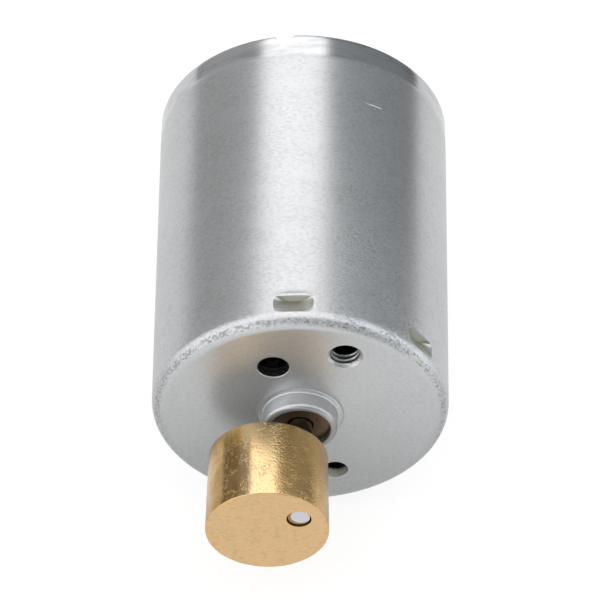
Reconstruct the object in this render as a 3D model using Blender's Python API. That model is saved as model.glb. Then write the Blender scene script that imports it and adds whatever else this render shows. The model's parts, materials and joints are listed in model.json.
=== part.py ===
"""Vibration motor: a brushed motor in a drawn steel can, with an off-centre brass weight on its shaft.

The motor lies on its side. Y is the shaft's axis, with the weight at -Y and the terminals at +Y.
The origin is on that axis, on the front face that two screws pull against. Angles are in degrees,
from +X towards +Z. All lengths are in metres.
"""
import math

import bmesh
import bpy
from mathutils import Matrix, Vector

# Can
CAN_DIAMETER = 0.0244
CAN_LENGTH = 0.0310
CAN_WALL = 0.0009
CAN_CORNER = 0.0012
CAN_INNER_CORNER = 0.0003
RIM_SHOULDER = 0.00035
RIM_BAND_STEP = 0.00005
RIM_EDGE = 0.0001

# Boss round the front bush
BOSS_WALL = 0.000575
BOSS_HEIGHT = 0.0016
BOSS_LIP = 0.0002
BOSS_FILLET = 0.00025

# Holes in the front face, each set in from the can's side
MOUNT_HOLE_DIAMETER = 0.00212
MOUNT_HOLE_INSET = 0.0037
MOUNT_HOLE_CHAMFER = 0.0003
MOUNT_COLLAR_WALL = 0.00074
MOUNT_COLLAR_DEPTH = 0.0003
VENT_DIAMETER = 0.0025
VENT_INSET = 0.00554
SMALL_VENT_DIAMETER = 0.0021
SMALL_VENT_INSET = 0.0042

# Stops pressed into the can's side, in front of the magnets
STOP_WIDTH = 0.0032
STOP_TOE_WIDTH = 0.0028
STOP_LENGTH = 0.00165
STOP_DEPTH = 0.0006
STOP_TOE_DEPTH = 0.0001
STOP_SETBACK = 0.0002

# Rear rim
NOTCH_WIDTH = 0.0017
NOTCH_FLOOR = 0.0011
NOTCH_DEPTH = 0.00045
CRIMP_WIDTH = 0.0016
CRIMP_REACH = 0.0006
CRIMP_LENGTH = 0.00055

# Bushes, one at each end
BUSH_DIAMETER = 0.00496
BUSH_LENGTH = 0.0030
BUSH_RECESS = 0.0005
BUSH_CHAMFER = 0.0002
REAR_BUSH_SETBACK = 0.00015

# Shaft
SHAFT_DIAMETER = 0.0020
SHAFT_CHAMFER = 0.00015
SHAFT_RECESS = 0.00014
SHAFT_TAIL = 0.0005

# Eccentric weight
WEIGHT_DIAMETER = 0.00992
WEIGHT_LENGTH = 0.00735
WEIGHT_RIM = 0.00094
WEIGHT_STANDOFF = 0.00176
WEIGHT_EDGE = 0.0001

# Magnets and the clips between them
MAGNET_THICKNESS = 0.00245
MAGNET_OVERHANG = 0.0025
CLIP_WIRE = 0.0009
CLIP_BEND = 0.0015
CLIP_SETBACK = 0.0010

# Rotor core, its end plates and coils
AIR_GAP = 0.00045
SHOE_THICKNESS = 0.0013
NECK_WIDTH = 0.0026
SLOT_OPENING = 0.0020
INSULATOR_THICKNESS = 0.00045
INSULATOR_INSET = 0.0001
COIL_HEAD = 0.0020
COIL_ROUND = 0.0008

# Commutator
COMMUTATOR_DIAMETER = 0.0050
COMMUTATOR_OVERRUN = 0.0004
SEGMENT_THICKNESS = 0.0004
RISER_REACH = 0.0014
RISER_THICKNESS = 0.0004
RISER_ROOM = 0.0010
RING_WIDTH = 0.00075
RING_THICKNESS = 0.00045

# Rings on the shaft
SPACER_WALL = 0.0009
WASHER_WALL = 0.0009
WASHER_THICKNESS = 0.00025

# Brush gear
BRUSH_LENGTH = 0.0014
BRUSH_WIDTH = 0.0018
BRUSH_HEIGHT = 0.0020
BRUSH_SETBACK = 0.00125
ARM_THICKNESS = 0.0002
ARM_TIP = 0.0003
ARM_LAP = 0.0015
TERMINAL_WIDTH = 0.0024
TERMINAL_THICKNESS = 0.0005
TERMINAL_REACH = 0.0040
TERMINAL_INSET = 0.00165
TERMINAL_TIP = 0.0006
TERMINAL_HOLE = 0.0010

# End bell
BELL_THICKNESS = 0.00195
BELL_BOSS_WALL = 0.0009
BELL_LIP_LENGTH = 0.0010
BELL_EDGE = 0.0003
BELL_RECESS = 0.0004
BELL_RIM_WIDTH = 0.0013
BELL_HUB_WIDTH = 0.0007
BELL_PAD_WALL = 0.0006
BELL_PAD_HEIGHT = 0.0006
BELL_VENT_DIAMETER = 0.0024
BELL_VENT_INSET = 0.0044

# Fits: pressed in, running, seated face to face, and round the coils and the shaft's tail
PRESS_GAP = 0.00002
RUNNING_GAP = 0.00003
SEAT_GAP = 0.00005
COIL_GAP = 0.0001
TAIL_GAP = 0.0003
FRONT_END_PLAY = 0.0001
REAR_END_PLAY = 0.0003

# Angles: the housing is clocked to its upper tapped hole, and the rotor to its weight
HOUSING_CLOCK = 64.6
WEIGHT_CLOCK = 210.7
VENT_ANGLE = 44.6
SMALL_VENT_ANGLE = -133.2
STOP_SPREAD = 28.1
NOTCH_ANGLE = 32.8
CRIMP_ANGLE = -8.0
BELL_VENT_ANGLE = 32.0
MAGNET_SPAN = 128.0
COIL_CORNER_ANGLE = 34.0
COIL_INNER_ANGLE = 52.0
SEGMENT_SPAN = 112.0
RISER_SPAN = 24.0

# Counts of what repeats
POLES = 3
CRIMPS = 4
CAN_FACETS = 60
BELL_FACETS = 48
WEIGHT_FACETS = 48
SMALL_FACETS = 24
TAG_HOLE_FACETS = 16
STOP_STEPS = 8
MAGNET_STEPS = 16
SEGMENT_STEPS = 12
SHOE_STEPS = 10
SHOE_INNER_STEPS = 5
ARC_STEPS = 4
SMALL_ARC_STEPS = 2
WIRE_BEVEL_STEPS = 2

# How far a cutter runs past what it cuts, the distance at which points are one, and the angle
# in degrees from which an edge is sharp
CUT_MARGIN = 0.0005
WELD_DISTANCE = 0.0000001
SHARP_ANGLE = 30.0

# Radii worked out from the sizes above
can_radius = CAN_DIAMETER / 2
can_inner_radius = can_radius - CAN_WALL
rim_radius = can_inner_radius + RIM_SHOULDER
shaft_radius = SHAFT_DIAMETER / 2
bush_radius = BUSH_DIAMETER / 2
running_bore = shaft_radius + RUNNING_GAP
pressed_bore = shaft_radius + PRESS_GAP
boss_bore = bush_radius + PRESS_GAP
magnet_outer = can_inner_radius - RUNNING_GAP
magnet_inner = magnet_outer - MAGNET_THICKNESS
core_radius = magnet_inner - AIR_GAP
shoe_inner = core_radius - SHOE_THICKNESS
coil_corner_radius = shoe_inner - COIL_GAP
coil_outer = coil_corner_radius * math.cos(math.radians(COIL_CORNER_ANGLE))
coil_half_width = coil_corner_radius * math.sin(math.radians(COIL_CORNER_ANGLE))
coil_inner = coil_half_width / math.tan(math.radians(COIL_INNER_ANGLE))
hub_radius = coil_inner - COIL_GAP
commutator_radius = COMMUTATOR_DIAMETER / 2
sleeve_radius = commutator_radius - SEGMENT_THICKNESS - SEAT_GAP
weight_radius = WEIGHT_DIAMETER / 2
weight_offset = weight_radius - pressed_bore - WEIGHT_RIM

# Brush gear, out from the shaft's axis
brush_inner = commutator_radius + SEAT_GAP
brush_outer = brush_inner + BRUSH_LENGTH
arm_inner = brush_outer + SEAT_GAP
arm_outer = arm_inner + ARM_THICKNESS
terminal_inner = arm_outer + SEAT_GAP
terminal_outer = terminal_inner + TERMINAL_THICKNESS
terminal_far = math.sqrt((can_inner_radius - TERMINAL_INSET) ** 2 - terminal_outer ** 2)
terminal_near = terminal_far - TERMINAL_WIDTH

# Places along the axis: the front end
front_bush_front = BUSH_RECESS - BOSS_HEIGHT
front_bush_rear = front_bush_front + BUSH_LENGTH
weight_rear = -BOSS_HEIGHT - WEIGHT_STANDOFF
weight_front = weight_rear - WEIGHT_LENGTH
shaft_front = weight_front + SHAFT_RECESS
stop_rear = CAN_CORNER + STOP_SETBACK + STOP_LENGTH
front_washer_front = front_bush_rear + FRONT_END_PLAY

# Places along the axis: from the rear rim forwards
bell_rear = CAN_LENGTH - CRIMP_LENGTH - SEAT_GAP
bell_front = bell_rear - BELL_THICKNESS
rim_shoulder = bell_front - SEAT_GAP
rear_bush_front = bell_front + REAR_BUSH_SETBACK
rear_bush_rear = rear_bush_front + BUSH_LENGTH
bell_lip_front = rear_bush_rear + SEAT_GAP
shaft_rear = rear_bush_rear + SHAFT_TAIL
rear_washer_front = rear_bush_front - REAR_END_PLAY - WASHER_THICKNESS
brush_rear = bell_front - BRUSH_SETBACK
brush_front = brush_rear - BRUSH_HEIGHT
segment_rear = brush_rear + COMMUTATOR_OVERRUN
ring_front = brush_front - COMMUTATOR_OVERRUN - RING_WIDTH
segment_front = ring_front - SEAT_GAP - RISER_THICKNESS
coil_rear = segment_front - RISER_ROOM
core_rear = coil_rear - COIL_HEAD - COIL_GAP - INSULATOR_THICKNESS - SEAT_GAP

# Places along the axis: the magnets and the core between them
magnet_front = stop_rear + SEAT_GAP
magnet_rear = core_rear + MAGNET_OVERHANG
core_front = magnet_front + MAGNET_OVERHANG
front_insulator_front = core_front - SEAT_GAP - INSULATOR_THICKNESS
rear_insulator_front = core_rear + SEAT_GAP
rear_insulator_rear = rear_insulator_front + INSULATOR_THICKNESS
coil_front = front_insulator_front - COIL_GAP - COIL_HEAD


def finish(name, color, roughness, metallic):
    """Principled material with one colour."""
    made = bpy.data.materials.new(name)
    made.use_nodes = True
    shader = made.node_tree.nodes["Principled BSDF"]
    shader.inputs["Base Color"].default_value = (*color, 1.0)
    shader.inputs["Roughness"].default_value = roughness
    shader.inputs["Metallic"].default_value = metallic
    return made


def arc(center, radius, start, end, steps=ARC_STEPS):
    """Points of a round stretch about center, from angle start to angle end, both included."""
    angles = [math.radians(start + (end - start) * step / steps) for step in range(steps + 1)]
    return [(center[0] + radius * math.cos(a), center[1] + radius * math.sin(a)) for a in angles]


def modelled(name, mesh):
    """Object of a mesh whose faces are turned outwards, smooth but for its sharp edges."""
    bmesh.ops.recalc_face_normals(mesh, faces=mesh.faces)
    data = bpy.data.meshes.new(name)
    mesh.to_mesh(data)
    mesh.free()
    data.shade_smooth()
    data.set_sharp_from_angle(angle=math.radians(SHARP_ANGLE))
    made = bpy.data.objects.new(name, data)
    bpy.context.scene.collection.objects.link(made)
    return made


def turned(name, profile, facets=SMALL_FACETS):
    """Solid turned about Y from (radius, y) points, which start and end on the axis or form a loop."""
    mesh = bmesh.new()
    points = [mesh.verts.new((radius, y, 0.0)) for radius, y in profile]
    following = points[1:] if profile[0][0] == 0.0 else points[1:] + points[:1]
    edges = [mesh.edges.new(pair) for pair in zip(points, following)]
    bmesh.ops.spin(
        mesh,
        geom=points + edges,
        cent=(0.0, 0.0, 0.0),
        axis=(0.0, 1.0, 0.0),
        angle=math.tau,
        steps=facets,
        use_merge=True,
    )
    bmesh.ops.remove_doubles(mesh, verts=mesh.verts, dist=WELD_DISTANCE)
    on_axis = [vert for vert in mesh.verts if math.hypot(vert.co.x, vert.co.z) < WELD_DISTANCE]
    bmesh.ops.dissolve_verts(mesh, verts=on_axis)
    return modelled(name, mesh)


def collar(name, inner, outer, length, facets=SMALL_FACETS):
    """Plain ring about Y, from y = 0 to its length."""
    return turned(name, [(inner, 0.0), (outer, 0.0), (outer, length), (inner, length)], facets)


def rod(name, radius, length, facets=SMALL_FACETS):
    """Plain cylinder about Y, from y = 0 to its length."""
    return turned(name, [(0.0, 0.0), (radius, 0.0), (radius, length), (0.0, length)], facets)


def extruded(name, outline, along):
    """Solid swept from a flat outline of 3D points in one straight move."""
    mesh = bmesh.new()
    face = mesh.faces.new([mesh.verts.new(point) for point in outline])
    swept = bmesh.ops.extrude_face_region(mesh, geom=[face], use_keep_orig=True)["geom"]
    moved = [item for item in swept if isinstance(item, bmesh.types.BMVert)]
    bmesh.ops.translate(mesh, verts=moved, vec=along)
    return modelled(name, mesh)


def extruded_loop(name, outer, inner, along):
    """Solid swept from the band between two outlines that have the same number of points."""
    mesh = bmesh.new()
    outside = [mesh.verts.new(point) for point in outer]
    inside = [mesh.verts.new(point) for point in inner]
    sides = zip(outside, outside[1:] + outside[:1], inside[1:] + inside[:1], inside)
    band = [mesh.faces.new(side) for side in sides]
    swept = bmesh.ops.extrude_face_region(mesh, geom=band, use_keep_orig=True)["geom"]
    moved = [item for item in swept if isinstance(item, bmesh.types.BMVert)]
    bmesh.ops.translate(mesh, verts=moved, vec=along)
    return modelled(name, mesh)


def block(name, low, high):
    """Box between two corners."""
    corners = [(low[0], low[2]), (high[0], low[2]), (high[0], high[2]), (low[0], high[2])]
    outline = [(x, low[1], z) for x, z in corners]
    return extruded(name, outline, (0.0, high[1] - low[1], 0.0))


def sector(name, inner, outer, span, length, steps):
    """Arc-shaped bar about Y, centred on +X, from y = 0 to its length."""
    outside = arc((0.0, 0.0), outer, -span / 2, span / 2, steps)
    inside = arc((0.0, 0.0), inner, span / 2, -span / 2, steps)
    return extruded(name, [(x, 0.0, z) for x, z in outside + inside], (0.0, length, 0.0))


def rounded_rectangle(half_x, half_y, radius):
    """Outline about the origin, with round corners."""
    x = half_x - radius
    y = half_y - radius
    corners = [((x, y), 0.0), ((-x, y), 90.0), ((-x, -y), 180.0), ((x, -y), 270.0)]
    return [point for center, start in corners for point in arc(center, radius, start, start + 90.0)]


def seat(piece, parent, y=0.0, angle=0.0, out=0.0):
    """Hang a piece on its body: y along the shaft, and out along the direction at the angle."""
    turn = Matrix.Rotation(math.radians(-angle), 4, "Y")
    piece.parent = parent
    piece.matrix_local = turn @ Matrix.Translation(Vector((out, y, 0.0)))
    return piece


def shape_with(piece, tools, operation="DIFFERENCE"):
    """Cut all the tools out of a piece in one go, or join them to it. The tools are only guides."""
    guides = bpy.data.collections.new(f"{piece.name}_{operation.lower()}")
    bpy.context.scene.collection.children.link(guides)
    for tool in tools:
        tool.hide_render = True
        tool.display_type = "WIRE"
        guides.objects.link(tool)
    change = piece.modifiers.new(guides.name, "BOOLEAN")
    change.operation = operation
    change.operand_type = "COLLECTION"
    change.collection = guides


def body_axis(name, clock):
    """Empty on the shaft's axis that the pieces of one body hang on."""
    empty = bpy.data.objects.new(name, None)
    empty.rotation_euler = (0.0, math.radians(-clock), 0.0)
    bpy.context.scene.collection.objects.link(empty)
    return empty


def can_profile():
    """Section of the can, from the boss's bore round the outside and back along the inside."""
    boss_radius = boss_bore + BOSS_WALL
    lip_y = BOSS_LIP - BOSS_HEIGHT
    band_radius = can_radius - RIM_BAND_STEP
    points = [(boss_bore, CAN_WALL)]
    points += arc((boss_bore + BOSS_LIP, lip_y), BOSS_LIP, 180.0, 270.0, SMALL_ARC_STEPS)
    points += arc((boss_radius - BOSS_LIP, lip_y), BOSS_LIP, -90.0, 0.0, SMALL_ARC_STEPS)
    fillet_center = (boss_radius + BOSS_FILLET, -BOSS_FILLET)
    points += arc(fillet_center, BOSS_FILLET, 180.0, 90.0, SMALL_ARC_STEPS)
    points += arc((can_radius - CAN_CORNER, CAN_CORNER), CAN_CORNER, -90.0, 0.0)
    points += [(can_radius, rim_shoulder), (band_radius, rim_shoulder + RIM_BAND_STEP)]
    points += [(band_radius, CAN_LENGTH - RIM_EDGE), (band_radius - RIM_EDGE, CAN_LENGTH)]
    points += [(rim_radius, CAN_LENGTH), (rim_radius, rim_shoulder), (can_inner_radius, rim_shoulder)]
    inner_center = (can_inner_radius - CAN_INNER_CORNER, CAN_WALL + CAN_INNER_CORNER)
    points += arc(inner_center, CAN_INNER_CORNER, 0.0, -90.0, SMALL_ARC_STEPS)
    return points


def stop_section(y, width, depth):
    """Section of a magnet stop at y: a shallow arc below x = 0, closed by a lid above it."""
    radius = (width ** 2 / 4 + depth ** 2) / (2 * depth)
    half_angle = math.degrees(math.asin(width / 2 / radius))
    dish = arc((radius - depth, 0.0), radius, 180.0 - half_angle, 180.0 + half_angle, STOP_STEPS)
    lid = [(CUT_MARGIN, -width / 2), (CUT_MARGIN, width / 2)]
    return [(x, y, z) for x, z in dish + lid]


def stop_form(name):
    """Dished wedge: its flat rear face at y = 0 is deepest, and it runs out towards -Y."""
    mesh = bmesh.new()
    rear = [mesh.verts.new(point) for point in stop_section(0.0, STOP_WIDTH, STOP_DEPTH)]
    toe_points = stop_section(-STOP_LENGTH, STOP_TOE_WIDTH, STOP_TOE_DEPTH)
    toe = [mesh.verts.new(point) for point in toe_points]
    mesh.faces.new(rear)
    mesh.faces.new(toe)
    for side in zip(rear, rear[1:] + rear[:1], toe[1:] + toe[:1], toe):
        mesh.faces.new(side)
    return modelled(name, mesh)


def notch_form(name):
    """Trapezoid through the rim wall, narrow at its floor."""
    floor = CAN_LENGTH - NOTCH_DEPTH
    beyond = CAN_LENGTH + CUT_MARGIN
    half = [(floor, NOTCH_FLOOR / 2), (CAN_LENGTH, NOTCH_WIDTH / 2), (beyond, NOTCH_WIDTH / 2)]
    inside = rim_radius - CUT_MARGIN
    outline = [(inside, y, z) for y, z in half] + [(inside, y, -z) for y, z in reversed(half)]
    return extruded(name, outline, (can_radius + CUT_MARGIN - inside, 0.0, 0.0))


def mount_hole_form(name):
    """Drill for a tapped hole: its bore, with a chamfer at the front face."""
    bore = MOUNT_HOLE_DIAMETER / 2
    mouth = bore + MOUNT_HOLE_CHAMFER + CUT_MARGIN
    end = CAN_WALL + MOUNT_COLLAR_DEPTH + CUT_MARGIN
    profile = [(0.0, -CUT_MARGIN), (mouth, -CUT_MARGIN), (bore, MOUNT_HOLE_CHAMFER)]
    profile += [(bore, end), (0.0, end)]
    return turned(name, profile)


def crimp_form(name):
    """Tab of rim metal pushed in over the end bell."""
    rim_middle = (rim_radius + can_radius) / 2
    low = (rim_radius - CRIMP_REACH, CAN_LENGTH - CRIMP_LENGTH, -CRIMP_WIDTH / 2)
    high = (rim_middle, CAN_LENGTH - RIM_EDGE, CRIMP_WIDTH / 2)
    return block(name, low, high)


def make_can(housing):
    can = seat(turned("can", can_profile(), CAN_FACETS), housing)
    mount_out = can_radius - MOUNT_HOLE_INSET
    stop_angles = [half + side * STOP_SPREAD for half in (0.0, 180.0) for side in (-1, 1)]
    added = []
    cut = []
    for angle in stop_angles:
        added.append(seat(stop_form("stop_bump"), housing, stop_rear, angle, can_inner_radius))
        cut.append(seat(stop_form("stop_scoop"), housing, stop_rear, angle, can_radius))
    for angle in (0.0, 180.0):
        burr_radius = MOUNT_HOLE_DIAMETER / 2 + MOUNT_COLLAR_WALL
        burr = rod("mount_burr", burr_radius, CAN_WALL / 2 + MOUNT_COLLAR_DEPTH)
        added.append(seat(burr, housing, CAN_WALL / 2, angle, mount_out))
        cut.append(seat(mount_hole_form("mount_drill"), housing, 0.0, angle, mount_out))
        cut.append(seat(notch_form("rim_notch"), housing, 0.0, NOTCH_ANGLE + angle))
    for index in range(CRIMPS):
        added.append(seat(crimp_form("crimp"), housing, 0.0, CRIMP_ANGLE + index * 360.0 / CRIMPS))
    vents = (
        (VENT_DIAMETER, VENT_INSET, VENT_ANGLE),
        (SMALL_VENT_DIAMETER, SMALL_VENT_INSET, SMALL_VENT_ANGLE),
    )
    for diameter, inset, angle in vents:
        drill = rod("vent_drill", diameter / 2, CAN_WALL + 2 * CUT_MARGIN)
        cut.append(seat(drill, housing, -CUT_MARGIN, angle, can_radius - inset))
    shape_with(can, added, "UNION")
    shape_with(can, cut)
    can.data.materials.append(finish("plated_steel", (0.57, 0.577, 0.585), 0.35, 1.0))


def make_bush(name, parent, y, bronze):
    """Sintered bush with both mouths of its bore chamfered."""
    mouth = running_bore + BUSH_CHAMFER
    profile = [
        (running_bore, BUSH_CHAMFER),
        (mouth, 0.0),
        (bush_radius - BUSH_CHAMFER, 0.0),
        (bush_radius, BUSH_CHAMFER),
        (bush_radius, BUSH_LENGTH - BUSH_CHAMFER),
        (bush_radius - BUSH_CHAMFER, BUSH_LENGTH),
        (mouth, BUSH_LENGTH),
        (running_bore, BUSH_LENGTH - BUSH_CHAMFER),
    ]
    bush = seat(turned(name, profile), parent, y)
    bush.data.materials.append(bronze)


def make_magnets(housing):
    ferrite = finish("ferrite", (0.07, 0.07, 0.075), 0.6, 0.0)
    for name, angle in (("magnet_a", 0.0), ("magnet_b", 180.0)):
        length = magnet_rear - magnet_front
        magnet = sector(name, magnet_inner, magnet_outer, MAGNET_SPAN, length, MAGNET_STEPS)
        seat(magnet, housing, magnet_front, angle)
        magnet.data.materials.append(ferrite)


def clip_path():
    """Hairpin along the can's wall: two legs beside the magnets, and a bend between them in front."""
    wire_radius = CLIP_WIRE / 2
    path_radius = can_inner_radius - RUNNING_GAP - wire_radius
    half_gap = 90.0 - MAGNET_SPAN / 2
    to_magnet = math.degrees(math.asin((wire_radius + RUNNING_GAP) / path_radius))
    half_width = path_radius * math.radians(half_gap - to_magnet)
    bend_y = magnet_front + wire_radius
    leg_end = magnet_rear - CLIP_SETBACK
    left = arc((CLIP_BEND - half_width, bend_y + CLIP_BEND), CLIP_BEND, 180.0, 270.0)
    right = arc((half_width - CLIP_BEND, bend_y + CLIP_BEND), CLIP_BEND, 270.0, 360.0)
    flat = [(-half_width, leg_end)] + left + [(0.0, bend_y)] + right + [(half_width, leg_end)]
    turns = [(around / path_radius, y) for around, y in flat]
    return [(path_radius * math.cos(turn), y, path_radius * math.sin(turn)) for turn, y in turns]


def make_clips(housing):
    spring_steel = finish("spring_steel", (0.42, 0.42, 0.43), 0.35, 1.0)
    for name, angle in (("magnet_clip_a", 90.0), ("magnet_clip_b", -90.0)):
        curve = bpy.data.curves.new(name, "CURVE")
        curve.dimensions = "3D"
        curve.bevel_depth = CLIP_WIRE / 2
        curve.bevel_resolution = WIRE_BEVEL_STEPS
        curve.use_fill_caps = True
        points = clip_path()
        spline = curve.splines.new("POLY")
        spline.points.add(len(points) - 1)
        for point, place in zip(spline.points, points):
            point.co = (*place, 1.0)
        curve.materials.append(spring_steel)
        clip = bpy.data.objects.new(name, curve)
        bpy.context.scene.collection.objects.link(clip)
        seat(clip, housing, 0.0, angle)


def bell_profile():
    """Section of the end bell: a recessed disc, with a rear boss that closes in behind the bush."""
    rim = rim_radius - RUNNING_GAP
    bore = bush_radius + PRESS_GAP
    boss = bore + BELL_BOSS_WALL
    lip_bore = shaft_radius + TAIL_GAP
    boss_rear = bell_lip_front + BELL_LIP_LENGTH
    floor = bell_rear - BELL_RECESS
    return [
        (bore, bell_front),
        (rim, bell_front),
        (rim, bell_rear - BELL_EDGE),
        (rim - BELL_EDGE, bell_rear),
        (rim - BELL_RIM_WIDTH, bell_rear),
        (rim - BELL_RIM_WIDTH, floor),
        (boss + BELL_HUB_WIDTH, floor),
        (boss + BELL_HUB_WIDTH, bell_rear),
        (boss, bell_rear),
        (boss, boss_rear - BELL_EDGE),
        (boss - BELL_EDGE, boss_rear),
        (lip_bore, boss_rear),
        (lip_bore, bell_lip_front),
        (bore, bell_lip_front),
    ]


def bell_block(name, wall, front, rear):
    """Block round one terminal's blade, with a wall on each side of it."""
    low = (terminal_inner - wall, front, -terminal_far - wall)
    high = (terminal_outer + wall, rear, wall - terminal_near)
    return block(name, low, high)


def make_end_bell(housing):
    bell = seat(turned("end_bell", bell_profile(), BELL_FACETS), housing)
    vent_out = rim_radius - BELL_VENT_INSET
    pad_front = (bell_front + bell_rear) / 2
    pads = []
    cut = []
    for angle in (0.0, 180.0):
        pad = bell_block("terminal_pad", BELL_PAD_WALL, pad_front, bell_rear + BELL_PAD_HEIGHT)
        pads.append(seat(pad, housing, 0.0, angle))
        slot_rear = bell_rear + BELL_PAD_HEIGHT + CUT_MARGIN
        slot = bell_block("terminal_slot", PRESS_GAP, bell_front - CUT_MARGIN, slot_rear)
        cut.append(seat(slot, housing, 0.0, angle))
        vent = rod("bell_vent", BELL_VENT_DIAMETER / 2, BELL_THICKNESS + 2 * CUT_MARGIN)
        cut.append(seat(vent, housing, bell_front - CUT_MARGIN, BELL_VENT_ANGLE + angle, vent_out))
    shape_with(bell, pads, "UNION")
    shape_with(bell, cut)
    bell.data.materials.append(finish("black_nylon", (0.025, 0.025, 0.027), 0.5, 0.0))


def make_terminal(name, housing, angle, tin_plate):
    """Solder tag: a blade through the end bell, with cut corners and a hole for a lead."""
    tip = bell_rear + TERMINAL_REACH
    outline = [
        (brush_front, -terminal_far),
        (tip - TERMINAL_TIP, -terminal_far),
        (tip, TERMINAL_TIP - terminal_far),
        (tip, -terminal_near - TERMINAL_TIP),
        (tip - TERMINAL_TIP, -terminal_near),
        (brush_front, -terminal_near),
    ]
    points = [(terminal_inner, y, z) for y, z in outline]
    terminal = seat(extruded(name, points, (TERMINAL_THICKNESS, 0.0, 0.0)), housing, 0.0, angle)
    middle = -(terminal_far + terminal_near) / 2
    hole_y = tip - TERMINAL_TIP - TERMINAL_HOLE
    last = 360.0 - 360.0 / TAG_HOLE_FACETS
    ring = arc((hole_y, middle), TERMINAL_HOLE / 2, 0.0, last, TAG_HOLE_FACETS - 1)
    drill_points = [(terminal_inner - CUT_MARGIN, y, z) for y, z in ring]
    drill = extruded("terminal_drill", drill_points, (TERMINAL_THICKNESS + 2 * CUT_MARGIN, 0.0, 0.0))
    shape_with(terminal, [seat(drill, housing, 0.0, angle)])
    terminal.data.materials.append(tin_plate)


def make_brush_gear(housing):
    tin_plate = finish("tin_plate", (0.66, 0.64, 0.58), 0.4, 1.0)
    spring_bronze = finish("spring_bronze", (0.62, 0.40, 0.20), 0.35, 1.0)
    carbon = finish("carbon", (0.045, 0.043, 0.042), 0.55, 0.0)
    for pole, angle in (("positive", 0.0), ("negative", 180.0)):
        make_terminal(f"terminal_{pole}", housing, angle, tin_plate)
        low = (arm_inner, brush_front, -terminal_near - ARM_LAP)
        high = (arm_outer, brush_rear, BRUSH_WIDTH / 2 + ARM_TIP)
        arm = seat(block(f"brush_arm_{pole}", low, high), housing, 0.0, angle)
        arm.data.materials.append(spring_bronze)
        low = (brush_inner, brush_front, -BRUSH_WIDTH / 2)
        high = (brush_outer, brush_rear, BRUSH_WIDTH / 2)
        brush = seat(block(f"brush_{pole}", low, high), housing, 0.0, angle)
        brush.data.materials.append(carbon)


def make_shaft(rotor, steel):
    length = shaft_rear - shaft_front
    profile = [
        (0.0, 0.0),
        (shaft_radius - SHAFT_CHAMFER, 0.0),
        (shaft_radius, SHAFT_CHAMFER),
        (shaft_radius, length - SHAFT_CHAMFER),
        (shaft_radius - SHAFT_CHAMFER, length),
        (0.0, length),
    ]
    shaft = seat(turned("shaft", profile), rotor, shaft_front)
    shaft.data.materials.append(steel)


def make_weight(rotor):
    profile = [
        (0.0, 0.0),
        (weight_radius - WEIGHT_EDGE, 0.0),
        (weight_radius, WEIGHT_EDGE),
        (weight_radius, WEIGHT_LENGTH - WEIGHT_EDGE),
        (weight_radius - WEIGHT_EDGE, WEIGHT_LENGTH),
        (0.0, WEIGHT_LENGTH),
    ]
    blank = turned("eccentric_weight", profile, WEIGHT_FACETS)
    weight = seat(blank, rotor, weight_front, 0.0, weight_offset)
    bore = rod("weight_bore", pressed_bore, WEIGHT_LENGTH + 2 * CUT_MARGIN)
    shape_with(weight, [seat(bore, rotor, weight_front - CUT_MARGIN)])
    weight.data.materials.append(finish("turned_brass", (0.67, 0.44, 0.19), 0.3, 1.0))


def pole_outline(inset):
    """Outline of the three-pole lamination, drawn in by an inset: hub, necks and shoes."""
    half_neck = NECK_WIDTH / 2 - inset
    hub = hub_radius - inset
    outer = core_radius - inset
    inner = shoe_inner + inset
    half_shoe = 180.0 / POLES - math.degrees(math.asin((SLOT_OPENING / 2 + inset) / core_radius))
    at_hub = math.degrees(math.asin(half_neck / hub))
    at_shoe = math.degrees(math.asin(half_neck / inner))
    points = []
    for pole in range(POLES):
        middle = pole * 360.0 / POLES
        points += arc((0.0, 0.0), inner, middle - at_shoe, middle - half_shoe, SHOE_INNER_STEPS)
        points += arc((0.0, 0.0), outer, middle - half_shoe, middle + half_shoe, SHOE_STEPS)
        points += arc((0.0, 0.0), inner, middle + half_shoe, middle + at_shoe, SHOE_INNER_STEPS)
        points += arc((0.0, 0.0), hub, middle + at_hub, middle + 360.0 / POLES - at_hub)
    return [(x, 0.0, z) for x, z in points]


def make_core(rotor):
    bore = rod("core_bore", pressed_bore, core_rear - core_front + 2 * COIL_HEAD)
    seat(bore, rotor, core_front - COIL_HEAD)
    laminations = finish("laminations", (0.30, 0.30, 0.32), 0.45, 1.0)
    fibre = finish("insulating_fibre", (0.62, 0.60, 0.52), 0.6, 0.0)
    plates = (
        ("rotor_core", 0.0, core_front, core_rear - core_front, laminations),
        ("insulator_front", INSULATOR_INSET, front_insulator_front, INSULATOR_THICKNESS, fibre),
        ("insulator_rear", INSULATOR_INSET, rear_insulator_front, INSULATOR_THICKNESS, fibre),
    )
    for name, inset, y, length, material in plates:
        plate = seat(extruded(name, pole_outline(inset), (0.0, length, 0.0)), rotor, y)
        shape_with(plate, [bore])
        plate.data.materials.append(material)


def make_windings(rotor):
    """One closed coil round each neck, from the hub out to where its corners meet the shoe."""
    enamel = finish("enamelled_copper", (0.50, 0.17, 0.06), 0.3, 1.0)
    half_length = (coil_rear - coil_front) / 2
    inner_half_width = NECK_WIDTH / 2 + COIL_GAP
    inner_half_length = half_length - COIL_HEAD
    inner_round = COIL_GAP
    outer = rounded_rectangle(coil_half_width, half_length, COIL_ROUND)
    inner = rounded_rectangle(inner_half_width, inner_half_length, inner_round)
    for pole in range(POLES):
        outside = [(coil_inner, y, x) for x, y in outer]
        inside = [(coil_inner, y, x) for x, y in inner]
        along = (coil_outer - coil_inner, 0.0, 0.0)
        winding = extruded_loop(f"winding_{pole + 1}", outside, inside, along)
        seat(winding, rotor, (coil_front + coil_rear) / 2, pole * 360.0 / POLES)
        winding.data.materials.append(enamel)


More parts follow.
